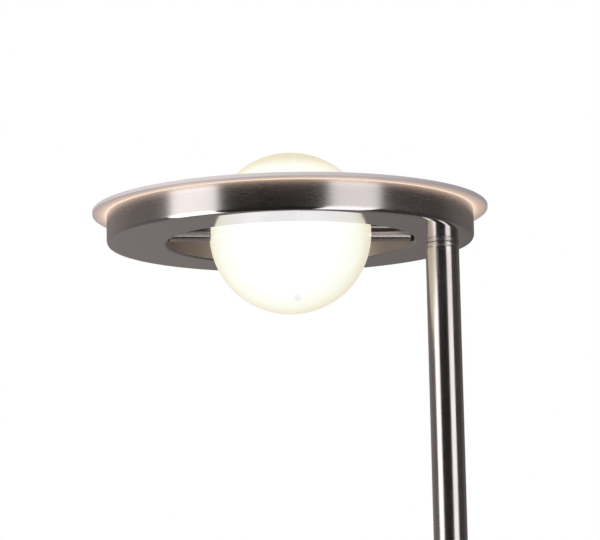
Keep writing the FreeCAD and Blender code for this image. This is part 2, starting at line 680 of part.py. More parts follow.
def axle_bush(side):
    """Bush in the hole's wall: a flange on each side of the sheet and a sleeve for the rod's spigot."""
    start = Vector(side * (HOLE_R - BUSH_FLANGE), 0, AXLE_Z)
    length = BUSH_END - HOLE_R + BUSH_FLANGE
    flanges = rod(BUSH_FLANGE_R, start, length, X * side)
    sleeve = rod(SPIGOT_R + RUN + BUSH_WALL - PLAY, start, length, X * side)
    wall = ring(HOLE_R, HOLE_R + SHEET, RING_Z, RING_TOP)
    return flanges.cut(wall).fuse(sleeve).cut(rod(SPIGOT_R + RUN, start, length, X * side))


def stop_block():
    """Stop on the tray's floor that the pin meets at both ends of the globe's turn."""
    top = min(AXLE_HEIGHT - SPIGOT_R - GAP, AXLE_HEIGHT - STOP_PIN_REACH / 2 - STOP_PIN_R - 2 * GAP)
    return block((-STOP_X - STOP_PIN_R, -STOP_X + STOP_PIN_R),
                 (-STOP_BLOCK_WIDTH / 2, STOP_BLOCK_WIDTH / 2),
                 (RING_Z + SHEET, RING_Z + top))


# ------------------------------------------------------------------ reading light, drawn about the origin
def globe_axle():
    """Hollow rod across the ring's hole, stepped down at both ends to run in the bushes."""
    body = rod(SPIGOT_R, Vector(-AXLE_END, 0, 0), 2 * AXLE_END, X)
    body = body.fuse(rod(AXLE_R, Vector(-SHOULDER_X, 0, 0), 2 * SHOULDER_X, X))
    body = body.cut(rod(AXLE_BORE_R, Vector(-AXLE_END, 0, 0), 2 * AXLE_END, X))
    return body.cut(rod(STOP_PIN_R, Vector(-STOP_X, 0, 0), SPIGOT_R + 1))


def globe_half(side):
    """Half of the opal globe, closed by its twin at the seam square to the rod."""
    shell = ball(GLOBE_R).cut(ball(GLOBE_BORE_R))
    span = (0, GLOBE_R + 1) if side > 0 else (-GLOBE_R - 1, 0)
    shell = shell.common(block(span, (-GLOBE_R - 1, GLOBE_R + 1), (-GLOBE_R - 1, GLOBE_R + 1)))
    shell = shell.cut(rod(AXLE_R + PLAY, Vector(-GLOBE_R, 0, 0), 2 * GLOBE_R, X))
    return shell.cut(rod(KNOB_STEM_R + PLAY, Vector(0, 0, 0), GLOBE_R + 1, -Z))


def aiming_knob():
    """Domed knob on a stem through the seam, held by a disc inside."""
    top = -GLOBE_BORE_R + SEAM_RING_THICK + 1
    stem = rod(KNOB_STEM_R, Vector(0, 0, top), GLOBE_WALL + SEAM_RING_THICK + 2, -Z)
    outside = ball(GLOBE_R)
    head = rod(KNOB_R, Vector(0, 0, -GLOBE_R + 1), KNOB_HEIGHT + 1, -Z)
    tip = [e for e in head.Edges if e.BoundBox.ZMax < -GLOBE_R - KNOB_HEIGHT + 1e-3]
    head = head.makeFillet(KNOB_R * KNOB_ROUNDING, tip).cut(outside)
    return stem.fuse(head)


def seam_ring():
    """Clear ring inside the seam that joins the half shells."""
    half = SEAM_RING_WIDTH / 2
    slab = around(0, 0, half, GLOBE_R, -GLOBE_R, GLOBE_R)
    band = ball(GLOBE_BORE_R).common(slab)
    band = band.cut(rod(GLOBE_BORE_R - SEAM_RING_THICK, Vector(-half, 0, 0), 2 * half, X))
    return band.cut(rod(KNOB_STEM_R + PLAY, Vector(0, 0, 0), GLOBE_R, -Z))


def hub_screw_axis(side):
    """The point on the rod's axis under a hub's grub screw."""
    return Vector(side * (GLOBE_BORE_R - HUB_LENGTH / 2 - HUB_SCREW_INWARD), 0, 0)


def globe_hubs():
    """Hubs inside the globe where the rod goes through it, fitted to the shells' curve."""
    def hub(side):
        start = Vector(side * (GLOBE_BORE_R - HUB_LENGTH), 0, 0)
        body = rod(HUB_R, start, HUB_LENGTH, X * side).common(ball(GLOBE_BORE_R))
        body = body.cut(rod(AXLE_R, start, HUB_LENGTH, X * side))
        return body.cut(rod(SCREW_R + PLAY, hub_screw_axis(side), HUB_R + 1))
    return both_ends(hub)


def hub_screws():
    length = HUB_R - AXLE_R - HUB_SCREW_BELOW
    return both_ends(lambda side: rod(SCREW_R, hub_screw_axis(side) + Z * AXLE_R, length))


def reading_heat_sink():
    """Bar on the rod with two flats for the LED boards."""
    half = SINK_WIDTH / 2
    bar = block((-SINK_LENGTH / 2, SINK_LENGTH / 2), (-half, half), (-half, half))
    bar = bar.makeChamfer(SINK_CHAMFER, long_edges(bar, X))
    return bar.cut(rod(AXLE_R, Vector(-SINK_LENGTH / 2, 0, 0), SINK_LENGTH, X))


def reading_boards():
    """One LED board on the flat facing the knob and one on the flat opposite."""
    half = SINK_WIDTH / 2
    length, width = SINK_LENGTH / 2 - SINK_BOARD_EDGE[0], half - SINK_BOARD_EDGE[1]
    board = around(0, 0, length, width, half, half + BOARD_THICK)
    return group([board, board.mirror(Vector(0, 0, 0), Z)])


def reading_chips():
    chips = []
    low = SINK_WIDTH / 2 + BOARD_THICK
    for index in range(READING_CHIP_COUNT):
        x = (index - (READING_CHIP_COUNT - 1) / 2) * READING_CHIP_PITCH
        chip = around(x, 0, CHIP_SIZE / 2, CHIP_SIZE / 2, low, low + CHIP_THICK)
        chips += [chip, chip.mirror(Vector(0, 0, 0), Z)]
    return group(chips)


def friction_washers():
    def washer(side):
        return tube(BUSH_FLANGE_R, SPIGOT_R, Vector(side * WASHER_X, 0, 0), WASHER_THICK, X * side)
    return both_ends(washer)


def axle_nuts():
    """Round slotted nuts on the rod's ends, inside the tray."""
    def nut(side):
        body = tube(AXLE_NUT_R, SPIGOT_R, Vector(side * NUT_X, 0, 0), AXLE_NUT_LENGTH, X * side)
        half = NUT_SLOT[0] / 2
        slot = block((NUT_END - NUT_SLOT[1], NUT_END), (-AXLE_NUT_R - 1, AXLE_NUT_R + 1), (-half, half))
        return body.cut(slot if side > 0 else slot.mirror(Vector(0, 0, 0), X))
    return both_ends(nut)


def stop_pin():
    """Pin in the rod's end, opposite the aiming knob."""
    return rod(STOP_PIN_R, Vector(-STOP_X, 0, AXLE_BORE_R), STOP_PIN_REACH - AXLE_BORE_R)


# ------------------------------------------------------------------ the assembly
FIXED = {
    "foot_ring": foot_ring(),
    "bottom_plate": bottom_plate(),
    "base_screws": base_screws(),
    "ballast_plate": ballast_plate(),
    "base_cover": base_cover(),
    "cord_gland": cord_gland(),
    "uplight_driver": driver(UPLIGHT_DRIVER, DRIVER_Y),
    "reading_driver": driver(READING_DRIVER, -DRIVER_Y),
    "terminal_block": terminal_block(),
    "base_collar": base_collar(),
    "pole_lower": pole_section(0),
    "pole_middle": pole_section(1),
    "pole_upper": pole_section(2),
    "joiner_lower": joiner(0),
    "joiner_upper": joiner(1),
    "pole_foot_plug": pole_plug(BASE_HEIGHT),
    "foot_nipple": nipple(FOOT_NIPPLE_END, BASE_HEIGHT + PLUG_DEPTH),
    "pole_head_plug": pole_plug(POLE_TOP - PLUG_LENGTH),
    "head_nipple": nipple(POLE_TOP - PLUG_DEPTH, RING_Z + NIPPLE_ABOVE_RING),
    "head_washer": ring(NIPPLE_R + PLAY, WASHER_R, RING_Z + SHEET, RING_Z + SHEET + HEAD_WASHER_THICK, POLE_X),
    "head_nut": hex_nut(NUT_FLATS, NUT_HEIGHT, Vector(POLE_X, 0, RING_Z + SHEET + HEAD_WASHER_THICK),
                        NIPPLE_R + PLAY),
    "pole_ferrule": pole_ferrule(),
    "pole_lead": pole_lead(),
    "control_base": control_base(),
    "control_screws": control_screws(),
    "control_board": control_board(),
    "control_cover": control_cover(),
    "encoder_nuts": encoder_nuts(),
    "ring_tray": ring_tray(),
    "led_standoffs": led_standoffs(),
    "carrier_screws": carrier_screws(),
    "led_carrier": led_carrier(),
    "led_board": led_board(),
    "led_chips": led_chips(),
    "diffuser_plate": diffuser_plate(),
    "diffuser_trim": diffuser_trim(),
    "axle_bush_left": axle_bush(-1),
    "axle_bush_right": axle_bush(1),
    "stop_block": stop_block(),
}

READING_LIGHT = {
    "globe_axle": globe_axle(),
    "globe_left": globe_half(-1),
    "globe_right": globe_half(1),
    "aiming_knob": aiming_knob(),
    "seam_ring": seam_ring(),
    "globe_hubs": globe_hubs(),
    "hub_screws": hub_screws(),
    "reading_heat_sink": reading_heat_sink(),
    "reading_boards": reading_boards(),
    "reading_chips": reading_chips(),
    "friction_washers": friction_washers(),
    "axle_nuts": axle_nuts(),
    "stop_pin": stop_pin(),
}

for node, shape in FIXED.items():
    save(node, shape)

for node, shape in READING_LIGHT.items():
    save(node, aimed(shape))

for name, height in DIAL_HEIGHTS.items():
    save(name + "_encoder", encoder(height))
    save(name + "_rotor", rotor(height))
    save(name + "_shaft", shaft(height))
    save(name + "_knob", dial(height))
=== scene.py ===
# %% [markdown]
# # A torchiere floor lamp with a reading light
# The lamp is a flat ring-shaped uplight on an off-centre pole. A glowing opal globe, the reading light,
# turns on a rod across the ring's hole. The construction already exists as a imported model, with every piece
# at its real size. This lesson gives that construction its looks. We load it first, because each shape
# below is measured from it.

# %% Load the construction
import json
import math

import bmesh
import bpy
from mathutils import Matrix, Vector


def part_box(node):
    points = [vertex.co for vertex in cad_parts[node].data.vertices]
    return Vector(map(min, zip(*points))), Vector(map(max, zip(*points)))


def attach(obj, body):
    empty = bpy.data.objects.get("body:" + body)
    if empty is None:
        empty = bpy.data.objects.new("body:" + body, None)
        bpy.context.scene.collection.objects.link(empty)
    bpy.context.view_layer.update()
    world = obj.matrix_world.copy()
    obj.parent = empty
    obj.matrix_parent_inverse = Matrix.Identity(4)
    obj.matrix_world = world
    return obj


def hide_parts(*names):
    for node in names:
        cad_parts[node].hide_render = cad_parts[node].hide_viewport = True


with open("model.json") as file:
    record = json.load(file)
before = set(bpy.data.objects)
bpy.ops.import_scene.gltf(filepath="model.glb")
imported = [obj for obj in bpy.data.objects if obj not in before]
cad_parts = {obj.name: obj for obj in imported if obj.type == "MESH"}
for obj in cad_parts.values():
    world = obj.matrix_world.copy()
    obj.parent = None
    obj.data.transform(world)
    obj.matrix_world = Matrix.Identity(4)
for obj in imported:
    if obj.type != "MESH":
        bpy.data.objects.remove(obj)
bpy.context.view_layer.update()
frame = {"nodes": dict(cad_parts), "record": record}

# %% [markdown]
# ## Sizes
# Sizes could be typed in again, but then two files would have to agree. It is safer to read them from the
# loaded meshes. A box gives heights and widths, and a turned piece also needs its distance from its own
# axis.

# %% Read the sizes from the construction
MM = 0.001


def low(node, axis=2):
    """The least coordinate of a piece along an axis, which is Z unless another is named."""
    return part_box(node)[0][axis]


def high(node, axis=2):
    """The greatest coordinate of a piece along an axis."""
    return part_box(node)[1][axis]


def middle(node, axis=2):
    """The coordinate half way along a piece."""
    return (low(node, axis) + high(node, axis)) / 2


def reach(node, centre=(0.0, 0.0)):
    """The least and greatest distance of a piece from a vertical axis."""
    points = [vertex.co for vertex in frame["nodes"][node].data.vertices]
    distances = [math.hypot(p.x - centre[0], p.y - centre[1]) for p in points]
    return min(distances), max(distances)


ring_low, ring_high = low("ring_tray"), high("ring_tray")
hole_radius, ring_radius = reach("ring_tray")
pole_x = middle("pole_upper", 0)
pole_radius = high("pole_upper", 0) - pole_x
axle_height = middle("globe_axle")
globe_radius = high("globe_left", 1)
print("ring %.1f to %.1f mm, pole %.1f mm, globe %.1f mm in radius"
      % (hole_radius / MM, ring_radius / MM, pole_radius / MM, globe_radius / MM))

# %% [markdown]
# ## Camera
# The picture is taken from below the head, a little to the left, with a long lens. Such a camera could be
# placed by eye. Here its distance and turns come from fitting the outlines of the ring, the hole, the globe
# and the pole, so they are given as numbers: how far it is from the ring's underside, how far below and
# beside it, and how far its view is turned off it.

# %% Place the camera
PHOTO_WIDTH = 600
SENSOR_WIDTH = 36.0
FOCAL_PIXELS = 2510.7           # focal length in pixels of the picture
CAMERA_DISTANCE = 1.8620        # metres, from the middle of the ring's underside
CAMERA_BELOW = 0.1693           # radians below the ring's level
CAMERA_LEFT = 0.1166            # radians round the lamp, towards -X
AIM_UP, AIM_RIGHT, ROLL = -0.0106, 0.0036, -0.0199      # radians off the ring's middle


def camera_frame():
    """The camera's place and its right, up and back directions."""
    place = CAMERA_DISTANCE * Vector((0, -math.cos(CAMERA_BELOW), -math.sin(CAMERA_BELOW)))
    tilt = CAMERA_BELOW + AIM_UP
    ahead = Vector((math.sin(AIM_RIGHT) * math.cos(tilt), math.cos(AIM_RIGHT) * math.cos(tilt),
                    math.sin(tilt)))
    level = Vector((math.cos(AIM_RIGHT), -math.sin(AIM_RIGHT), 0))
    above = level.cross(ahead)
    right = math.cos(ROLL) * level + math.sin(ROLL) * above
    up = math.cos(ROLL) * above - math.sin(ROLL) * level
    round_lamp = Matrix.Rotation(-CAMERA_LEFT, 3, "Z")
    return [round_lamp @ v for v in (place, right, up, -ahead)]


place, right, up, back = camera_frame()
lens = bpy.data.cameras.new("camera")
lens.sensor_width = SENSOR_WIDTH
lens.lens = FOCAL_PIXELS * SENSOR_WIDTH / PHOTO_WIDTH
camera = bpy.data.objects.new("camera", lens)
bpy.context.scene.collection.objects.link(camera)
aimed = Matrix((right, up, back)).transposed().to_4x4()
camera.matrix_world = Matrix.Translation(place + Vector((0, 0, ring_low))) @ aimed
bpy.context.scene.camera = camera
print("lens %.1f mm, camera at" % lens.lens, [round(v, 3) for v in camera.location])

# %% [markdown]
# ## Small helpers for shader nodes
# A material can be wired by hand in the editor. In a script the same wiring is shorter with one helper that
# adds a node and fills its inputs, either with a value or with a link from another node.

# %% Helpers for shader nodes
def add(tree, kind, inputs=None, **settings):
    """Adds a node, sets its settings, and sets or links its inputs."""
    made = tree.nodes.new(kind)
    for name, value in settings.items():
        setattr(made, name, value)
    for name, value in (inputs or {}).items():
        if isinstance(value, bpy.types.NodeSocket):
            tree.links.new(value, made.inputs[name])
        else:
            made.inputs[name].default_value = value
    return made


def calc(tree, operation, first, second=0.0, third=0.0):
    """The result of a Math node."""
    return add(tree, "ShaderNodeMath", {0: first, 1: second, 2: third}, operation=operation).outputs[0]


def ramp(tree, value, from_low, from_high, to_low=0.0, to_high=1.0):
    """The result of a Map Range node that eases in and out."""
    span = {"Value": value, "From Min": from_low, "From Max": from_high, "To Min": to_low, "To Max": to_high}
    return add(tree, "ShaderNodeMapRange", span, interpolation_type="SMOOTHSTEP").outputs["Result"]


def blend_colours(tree, factor, first, second, kind="MIX"):
    """The result of a colour Mix node."""
    mix = add(tree, "ShaderNodeMix", data_type="RGBA", blend_type=kind)
    for index, value in ((0, factor), (6, first), (7, second)):
        if isinstance(value, bpy.types.NodeSocket):
            tree.links.new(value, mix.inputs[index])
        else:
            mix.inputs[index].default_value = value
    return mix.outputs[2]


def colour_ramp(tree, value, stops):
    """The colour of a Color Ramp node with straight steps between (place, colour) stops."""
    made = add(tree, "ShaderNodeValToRGB", {"Fac": value})
    elements = made.color_ramp.elements
    elements.remove(elements[1])
    elements[0].position = stops[0][0]
    for spot, _ in stops[1:]:
        elements.new(spot)
    for stop, (_, colour) in zip(elements, stops):
        stop.color = (*colour, 1.0)
    return made.outputs["Color"]


# %% [markdown]
# ## Studio
# Brushed metal shows its surroundings more than its own colour. The band of the real ring has two bright
# upright stripes and dark fields between them: two tall softboxes in a dark studio, with a paler wall
# behind the lamp. They could be lamps and boards in the scene. They are painted on the world instead, as a
# ramp round the horizon, because then each stripe's edge is one number. Rays that light matt surfaces see
# plain grey, and the camera sees white.

# %% Paint the wall of the studio round the horizon
WALL = (                        # degrees from the -Y side towards +X, brightness
    (-180, 0.245), (-150, 0.24), (-118, 0.16), (-92, 0.13), (-84, 0.10), (-56, 0.06),
    (-45, 0.030), (-10, 0.022), (30, 0.026), (56, 0.050), (88, 0.055), (103, 0.072),
    (115, 0.125), (128, 0.148), (147, 0.152), (168, 0.165), (180, 0.245))
WALL_TINT = (1.0, 0.90, 0.86, 1.0)

world = bpy.data.worlds.new("studio")
bpy.context.scene.world = world
world.use_nodes = True
world.cycles.sampling_method = "NONE"   # the ramp is only for reflections, so lamps aren't sought in it
studio = world.node_tree
studio.nodes.clear()
looked = add(studio, "ShaderNodeTexCoord").outputs["Generated"]
direction = add(studio, "ShaderNodeSeparateXYZ", {0: looked}).outputs
height = direction["Z"]
azimuth = calc(studio, "ARCTAN2", direction["X"], calc(studio, "MULTIPLY", direction["Y"], -1.0))
along = calc(studio, "MULTIPLY_ADD", azimuth, 0.5 / math.pi, 0.5)
wall = colour_ramp(studio, along, [((degrees + 180) / 360, (shade, shade, shade)) for degrees, shade in WALL])
print(len(WALL), "stops round the horizon")

# %% [markdown]
# The softboxes stand on the floor in front and reach to just above the ring's level, so the band sees their
# upper ends and its rounded lower corner sees their middles, which makes the white line along the corner.
# Both lean a little, so their edges move as they go down. Lamps high up at the sides light what faces up.

# %% Add the softboxes and finish the world
SOFTBOXES = ((-85, -51, 1.80), (18.2, 51, 1.50))    # left and right edge in degrees, brightness
SOFT_EDGE = 2.0                                     # degrees
SOFTBOX_TOP, SOFTBOX_FOOT = (0.20, 0.32), (-0.86, -0.78)    # sines of the heights where they fade
LEAN = 6.0                                          # degrees that the edges move, from level to straight down
UNLEANT = 0.17                                      # sine of the height where the edges are as given
CEILING = 0.55                                      # brightness of the lamps high up
CEILING_FOOT = (0.42, 0.62)                         # sines of the heights where they begin
CEILING_FRONT, CEILING_BACK = (50, 75), (145, 165)  # degrees off the front where they begin and end
LAMP_GREEN = 0.985                                  # against red and blue, so white metal looks a little pink
AMBIENT, BACKDROP = 0.42, 1.0                       # what lights matt surfaces, and what the camera sees

leant = calc(studio, "MULTIPLY_ADD", calc(studio, "SUBTRACT", height, UNLEANT), -math.radians(LEAN), azimuth)
upright = calc(studio, "MULTIPLY", ramp(studio, height, *SOFTBOX_TOP, 1.0, 0.0),
               ramp(studio, height, *SOFTBOX_FOOT))
shine = 0.0
for left_edge, right_edge, brightness in SOFTBOXES:
    left, right, soft = math.radians(left_edge), math.radians(right_edge), math.radians(SOFT_EDGE) / 2
    inside = calc(studio, "MULTIPLY", ramp(studio, leant, left - soft, left + soft),
                  ramp(studio, leant, right - soft, right + soft, 1.0, 0.0))
    shine = calc(studio, "MULTIPLY_ADD", inside, brightness, shine)
shine = calc(studio, "MULTIPLY", shine, upright)
off_front = calc(studio, "ABSOLUTE", azimuth)
aside = calc(studio, "MULTIPLY", ramp(studio, off_front, *map(math.radians, CEILING_FRONT)),
             ramp(studio, off_front, *map(math.radians, CEILING_BACK), 1.0, 0.0))
overhead = calc(studio, "MULTIPLY", ramp(studio, height, *CEILING_FOOT), aside)
ceiling = calc(studio, "MULTIPLY", overhead, CEILING)
lamps = calc(studio, "ADD", shine, ceiling)
tinted = blend_colours(studio, 1.0, wall, WALL_TINT, "MULTIPLY")
green = calc(studio, "MULTIPLY", lamps, LAMP_GREEN)
lamp_colour = add(studio, "ShaderNodeCombineColor", {0: lamps, 1: green, 2: lamps})
seen = blend_colours(studio, 1.0, tinted, lamp_colour.outputs[0], "ADD")
reflected = add(studio, "ShaderNodeBackground", {"Color": seen})
ambient = add(studio, "ShaderNodeBackground", {"Color": (1, 1, 1, 1), "Strength": AMBIENT})
backdrop = add(studio, "ShaderNodeBackground", {"Color": (1, 1, 1, 1), "Strength": BACKDROP})
rays = add(studio, "ShaderNodeLightPath").outputs
lighting = add(studio, "ShaderNodeMixShader",
               {0: rays["Is Glossy Ray"], 1: ambient.outputs[0], 2: reflected.outputs[0]})
surroundings = add(studio, "ShaderNodeMixShader",
                   {0: rays["Is Camera Ray"], 1: lighting.outputs[0], 2: backdrop.outputs[0]})
add(studio, "ShaderNodeOutputWorld", {"Surface": surroundings.outputs[0]})
bpy.context.scene.view_settings.view_transform = "Standard"
print(len(SOFTBOXES), "softboxes,", len(studio.nodes), "nodes in the studio")

# %% [markdown]
# ## Floor
# The floor is a pale disc that fades into the white surroundings, so no edge or horizon shows from any
# side. A wide lamp, high up at the front left, gives the base its soft shadow. Metal doesn't mirror the
# floor, which keeps the ring's lower edge as dark as on the real lamp.

# %% Make the floor and its soft lamp
NOISE_SPAN = (0.2, 0.8)         # where nearly all values of a noise lie
FLOOR_RADIUS = 3.2
FADE = (0.3, 0.98)              # shares of the radius where the floor begins to fade and is gone
PALE = (0.84, 0.88)             # brightness of its darkest and lightest specks
FLOOR_BLUE = 0.99               # against red and green
FLOOR_ROUGHNESS = 0.8
SPECKS, SPECK_DETAIL = 90.0, 3.0
LAMP_SIZE, LAMP_ENERGY = 1.6, 48.0
LAMP_PLACE, LAMP_AIM = Vector((-1.9, -2.1, 2.6)), Vector((0, 0, 1.0))

bm = bmesh.new()
bmesh.ops.create_circle(bm, cap_ends=True, radius=FLOOR_RADIUS, segments=128)
floor_mesh = bpy.data.meshes.new("floor")
bm.to_mesh(floor_mesh)
bm.free()
floor = bpy.data.objects.new("floor", floor_mesh)
bpy.context.scene.collection.objects.link(floor)
floor.visible_glossy = False

floor_material = bpy.data.materials.new("pale_floor")
floor_material.use_nodes = True
tree = floor_material.node_tree
paint = tree.nodes["Principled BSDF"]
spot = add(tree, "ShaderNodeTexCoord").outputs["Object"]
distance = add(tree, "ShaderNodeVectorMath", {0: spot}, operation="LENGTH").outputs["Value"]
speck = add(tree, "ShaderNodeTexNoise",
            {"Vector": spot, "Scale": SPECKS, "Detail": SPECK_DETAIL}).outputs["Fac"]
shade = ramp(tree, speck, *NOISE_SPAN, *PALE)
blue = calc(tree, "MULTIPLY", shade, FLOOR_BLUE)
pale = add(tree, "ShaderNodeCombineColor", {0: shade, 1: shade, 2: blue}).outputs[0]
tree.links.new(pale, paint.inputs["Base Color"])
faded = ramp(tree, distance, FADE[0] * FLOOR_RADIUS, FADE[1] * FLOOR_RADIUS, 1.0, 0.0)
tree.links.new(faded, paint.inputs["Alpha"])
paint.inputs["Roughness"].default_value = FLOOR_ROUGHNESS
floor_mesh.materials.append(floor_material)

light = bpy.data.lights.new("soft_lamp", "AREA")
light.shape = "DISK"
light.size = LAMP_SIZE
light.energy = LAMP_ENERGY
lamp = bpy.data.objects.new("soft_lamp", light)
bpy.context.scene.collection.objects.link(lamp)
lamp.location = LAMP_PLACE
lamp.rotation_euler = (LAMP_AIM - LAMP_PLACE).to_track_quat("-Z", "Y").to_euler()
lamp.visible_camera = False
lamp.visible_glossy = False
print("floor", FLOOR_RADIUS, "m, lamp", LAMP_SIZE, "m")

# %% [markdown]
# ## Shared finish: turned and brushed metal
# The ring, the rod and the pole are brushed as they turn, so each has fine lines that run round its axis. A
# picture of scratches could be wrapped on, but it would show its seam and repeat. A noise that is slow
# round the axis and very quick across it has no seam. The group below gives the noise as a colour, a
# roughness and a height, and each metal uses it with its own values.

# %% Build the group for brushed metal
def new_group(name, inputs, outputs):
    """A node group with its sockets: inputs are (name, kind, value), outputs are (name, kind)."""
    tree = bpy.data.node_groups.new(name, "ShaderNodeTree")
    for title, kind, value in inputs:
        socket = tree.interface.new_socket(title, in_out="INPUT", socket_type=kind)
        if value is not None:
            socket.default_value = value
    for title, kind in outputs:
        tree.interface.new_socket(title, in_out="OUTPUT", socket_type=kind)
    return tree, add(tree, "NodeGroupInput").outputs, add(tree, "NodeGroupOutput").inputs


NUMBER, COLOUR, VECTOR = "NodeSocketFloat", "NodeSocketColor", "NodeSocketVector"
FINISH_OUTPUTS = (("Colour", COLOUR), ("Roughness", NUMBER), ("Height", NUMBER))
FINE_LINES = 0.65               # how strong the finer lines are between the coarse ones
CLOUDS, CLOUD_ROUGHNESS = 26.0, 0.12    # slow clouds to a metre, and how much roughness they add or take
LINE_ROUGHNESS = 0.5            # how much of the lines' depth shows as roughness

brushing, given, result = new_group(
    "brushing",
    (("Vector", VECTOR, None), ("Colour", COLOUR, (0.6, 0.6, 0.6, 1)), ("Roughness", NUMBER, 0.3),
     ("Lines Per Metre", NUMBER, 1600.0), ("Turns", NUMBER, 3.0), ("Depth", NUMBER, 0.1)),
    FINISH_OUTPUTS)
parts = add(brushing, "ShaderNodeSeparateXYZ", {0: given["Vector"]}).outputs
flat = add(brushing, "ShaderNodeCombineXYZ", {0: parts["X"], 1: parts["Y"]}).outputs[0]
spoke = add(brushing, "ShaderNodeVectorMath", {0: flat}, operation="NORMALIZE").outputs["Vector"]
far = add(brushing, "ShaderNodeVectorMath", {0: flat}, operation="LENGTH").outputs["Value"]
slow = add(brushing, "ShaderNodeVectorMath", {0: spoke, "Scale": given["Turns"]},
           operation="SCALE").outputs["Vector"]
quick = calc(brushing, "MULTIPLY", calc(brushing, "ADD", far, parts["Z"]), given["Lines Per Metre"])
across = add(brushing, "ShaderNodeCombineXYZ", {2: quick}).outputs[0]
lines = add(brushing, "ShaderNodeVectorMath", {0: slow, 1: across}, operation="ADD").outputs["Vector"]
line = add(brushing, "ShaderNodeTexNoise",
           {"Vector": lines, "Scale": 1.0, "Detail": 3.0, "Roughness": FINE_LINES}).outputs["Fac"]
cloud = add(brushing, "ShaderNodeTexNoise",
            {"Vector": given["Vector"], "Scale": CLOUDS, "Detail": 2.0}).outputs["Fac"]
centred = calc(brushing, "SUBTRACT", line, 0.5)
shade = calc(brushing, "MULTIPLY_ADD", centred, given["Depth"], 1.0)
brightness = add(brushing, "ShaderNodeCombineColor", {0: shade, 1: shade, 2: shade}).outputs[0]
brushing.links.new(blend_colours(brushing, 1.0, given["Colour"], brightness, "MULTIPLY"), result["Colour"])
clouded = calc(brushing, "SUBTRACT", cloud, 0.5)
uneven = calc(brushing, "MULTIPLY_ADD", clouded, CLOUD_ROUGHNESS, given["Roughness"])
scratched = calc(brushing, "MULTIPLY", given["Depth"], LINE_ROUGHNESS)
brushing.links.new(calc(brushing, "MULTIPLY_ADD", centred, scratched, uneven), result["Roughness"])
brushing.links.new(line, result["Height"])
print("brushing:", len(brushing.nodes), "nodes")

# %% [markdown]
# ## Shared finish: fine grain
# Moulded plastic, rubber, paint and cast iron have a grain with no direction. One group serves them all:
# its grain size and strength are inputs, and a slow cloud keeps large faces from looking flat.

# %% Build the group for grain
DRIFTS, DRIFT_ROUGHNESS = 18.0, 0.15    # as for the brushed metal's clouds

grain, given, result = new_group(
    "grain",
    (("Vector", VECTOR, None), ("Colour", COLOUR, (0.6, 0.6, 0.6, 1)), ("Roughness", NUMBER, 0.5),
     ("Grains Per Metre", NUMBER, 2000.0), ("Strength", NUMBER, 0.1)),
    FINISH_OUTPUTS)
fine = add(grain, "ShaderNodeTexNoise",
           {"Vector": given["Vector"], "Scale": given["Grains Per Metre"], "Detail": 2.0})
cloud = add(grain, "ShaderNodeTexNoise", {"Vector": given["Vector"], "Scale": DRIFTS, "Detail": 3.0})
centred = calc(grain, "SUBTRACT", fine.outputs["Fac"], 0.5)
drift = calc(grain, "SUBTRACT", cloud.outputs["Fac"], 0.5)
shade = calc(grain, "MULTIPLY_ADD", calc(grain, "ADD", centred, drift), given["Strength"], 1.0)
brightness = add(grain, "ShaderNodeCombineColor", {0: shade, 1: shade, 2: shade}).outputs[0]
grain.links.new(blend_colours(grain, 1.0, given["Colour"], brightness, "MULTIPLY"), result["Colour"])
grain.links.new(calc(grain, "MULTIPLY_ADD", drift, DRIFT_ROUGHNESS, given["Roughness"]), result["Roughness"])
grain.links.new(fine.outputs["Fac"], result["Height"])
print("grain:", len(grain.nodes), "nodes")

# %% [markdown]
# ## Making a material
# Each material is a Principled shader. A group feeds its colour and roughness, and its bump through a height.
# The pattern reads the piece's own coordinates, moved so that zero is on the piece's axis. Numbers that are
# the same all over stay on the shader.

# %% Helper for materials
def new_material(name, group, centre=(0.0, 0.0, 0.0), turn=(0.0, 0.0, 0.0), bump=0.02, values=None,
                 **constants):
    """A material whose colour, roughness and bump come from a group. bump is in millimetres."""
    material = bpy.data.materials.new(name)
    material.use_nodes = True
    tree = material.node_tree
    shader = tree.nodes["Principled BSDF"]
    spot = add(tree, "ShaderNodeTexCoord").outputs["Object"]
    shift = {"Vector": spot, "Location": [-c for c in centre]}
    spot = add(tree, "ShaderNodeMapping", shift, vector_type="POINT").outputs[0]
    if any(turn):
        turned_spot = {"Vector": spot, "Rotation": turn}
        spot = add(tree, "ShaderNodeMapping", turned_spot, vector_type="POINT").outputs[0]
    finish = add(tree, "ShaderNodeGroup", node_tree=group)
    tree.links.new(spot, finish.inputs["Vector"])
    for title, value in (values or {}).items():
        finish.inputs[title].default_value = value
    tree.links.new(finish.outputs["Colour"], shader.inputs["Base Color"])
    tree.links.new(finish.outputs["Roughness"], shader.inputs["Roughness"])
    raised = add(tree, "ShaderNodeBump",
                 {"Height": finish.outputs["Height"], "Distance": bump * MM, "Strength": 1.0})
    tree.links.new(raised.outputs["Normal"], shader.inputs["Normal"])
    for title, value in constants.items():
        shader.inputs[title.replace("_", " ")].default_value = value
    return material


NICKEL = (0.70, 0.655, 0.635, 1.0)


def brushed(name, centre=(0.0, 0.0, 0.0), axis="Z", colour=NICKEL, roughness=0.30, lines=1500.0, turns=3.0,
            depth=0.16, bump=0.012, stretch=0.8):
    """Metal brushed round an axis. Reflections stretch across the lines, a quarter turn from the tangent."""
    turn = {"X": (0.0, -math.pi / 2, 0.0), "Y": (math.pi / 2, 0.0, 0.0), "Z": (0.0, 0.0, 0.0)}[axis]
    values = {"Colour": colour, "Roughness": roughness, "Lines Per Metre": lines, "Turns": turns,
              "Depth": depth}
    material = new_material(name, brushing, centre, turn, bump, values,
                            Metallic=1.0, Anisotropic=stretch, Anisotropic_Rotation=0.25)
    tree = material.node_tree
    tangent = add(tree, "ShaderNodeTangent", direction_type="RADIAL", axis=axis)
    tree.links.new(tangent.outputs[0], tree.nodes["Principled BSDF"].inputs["Tangent"])
    return material


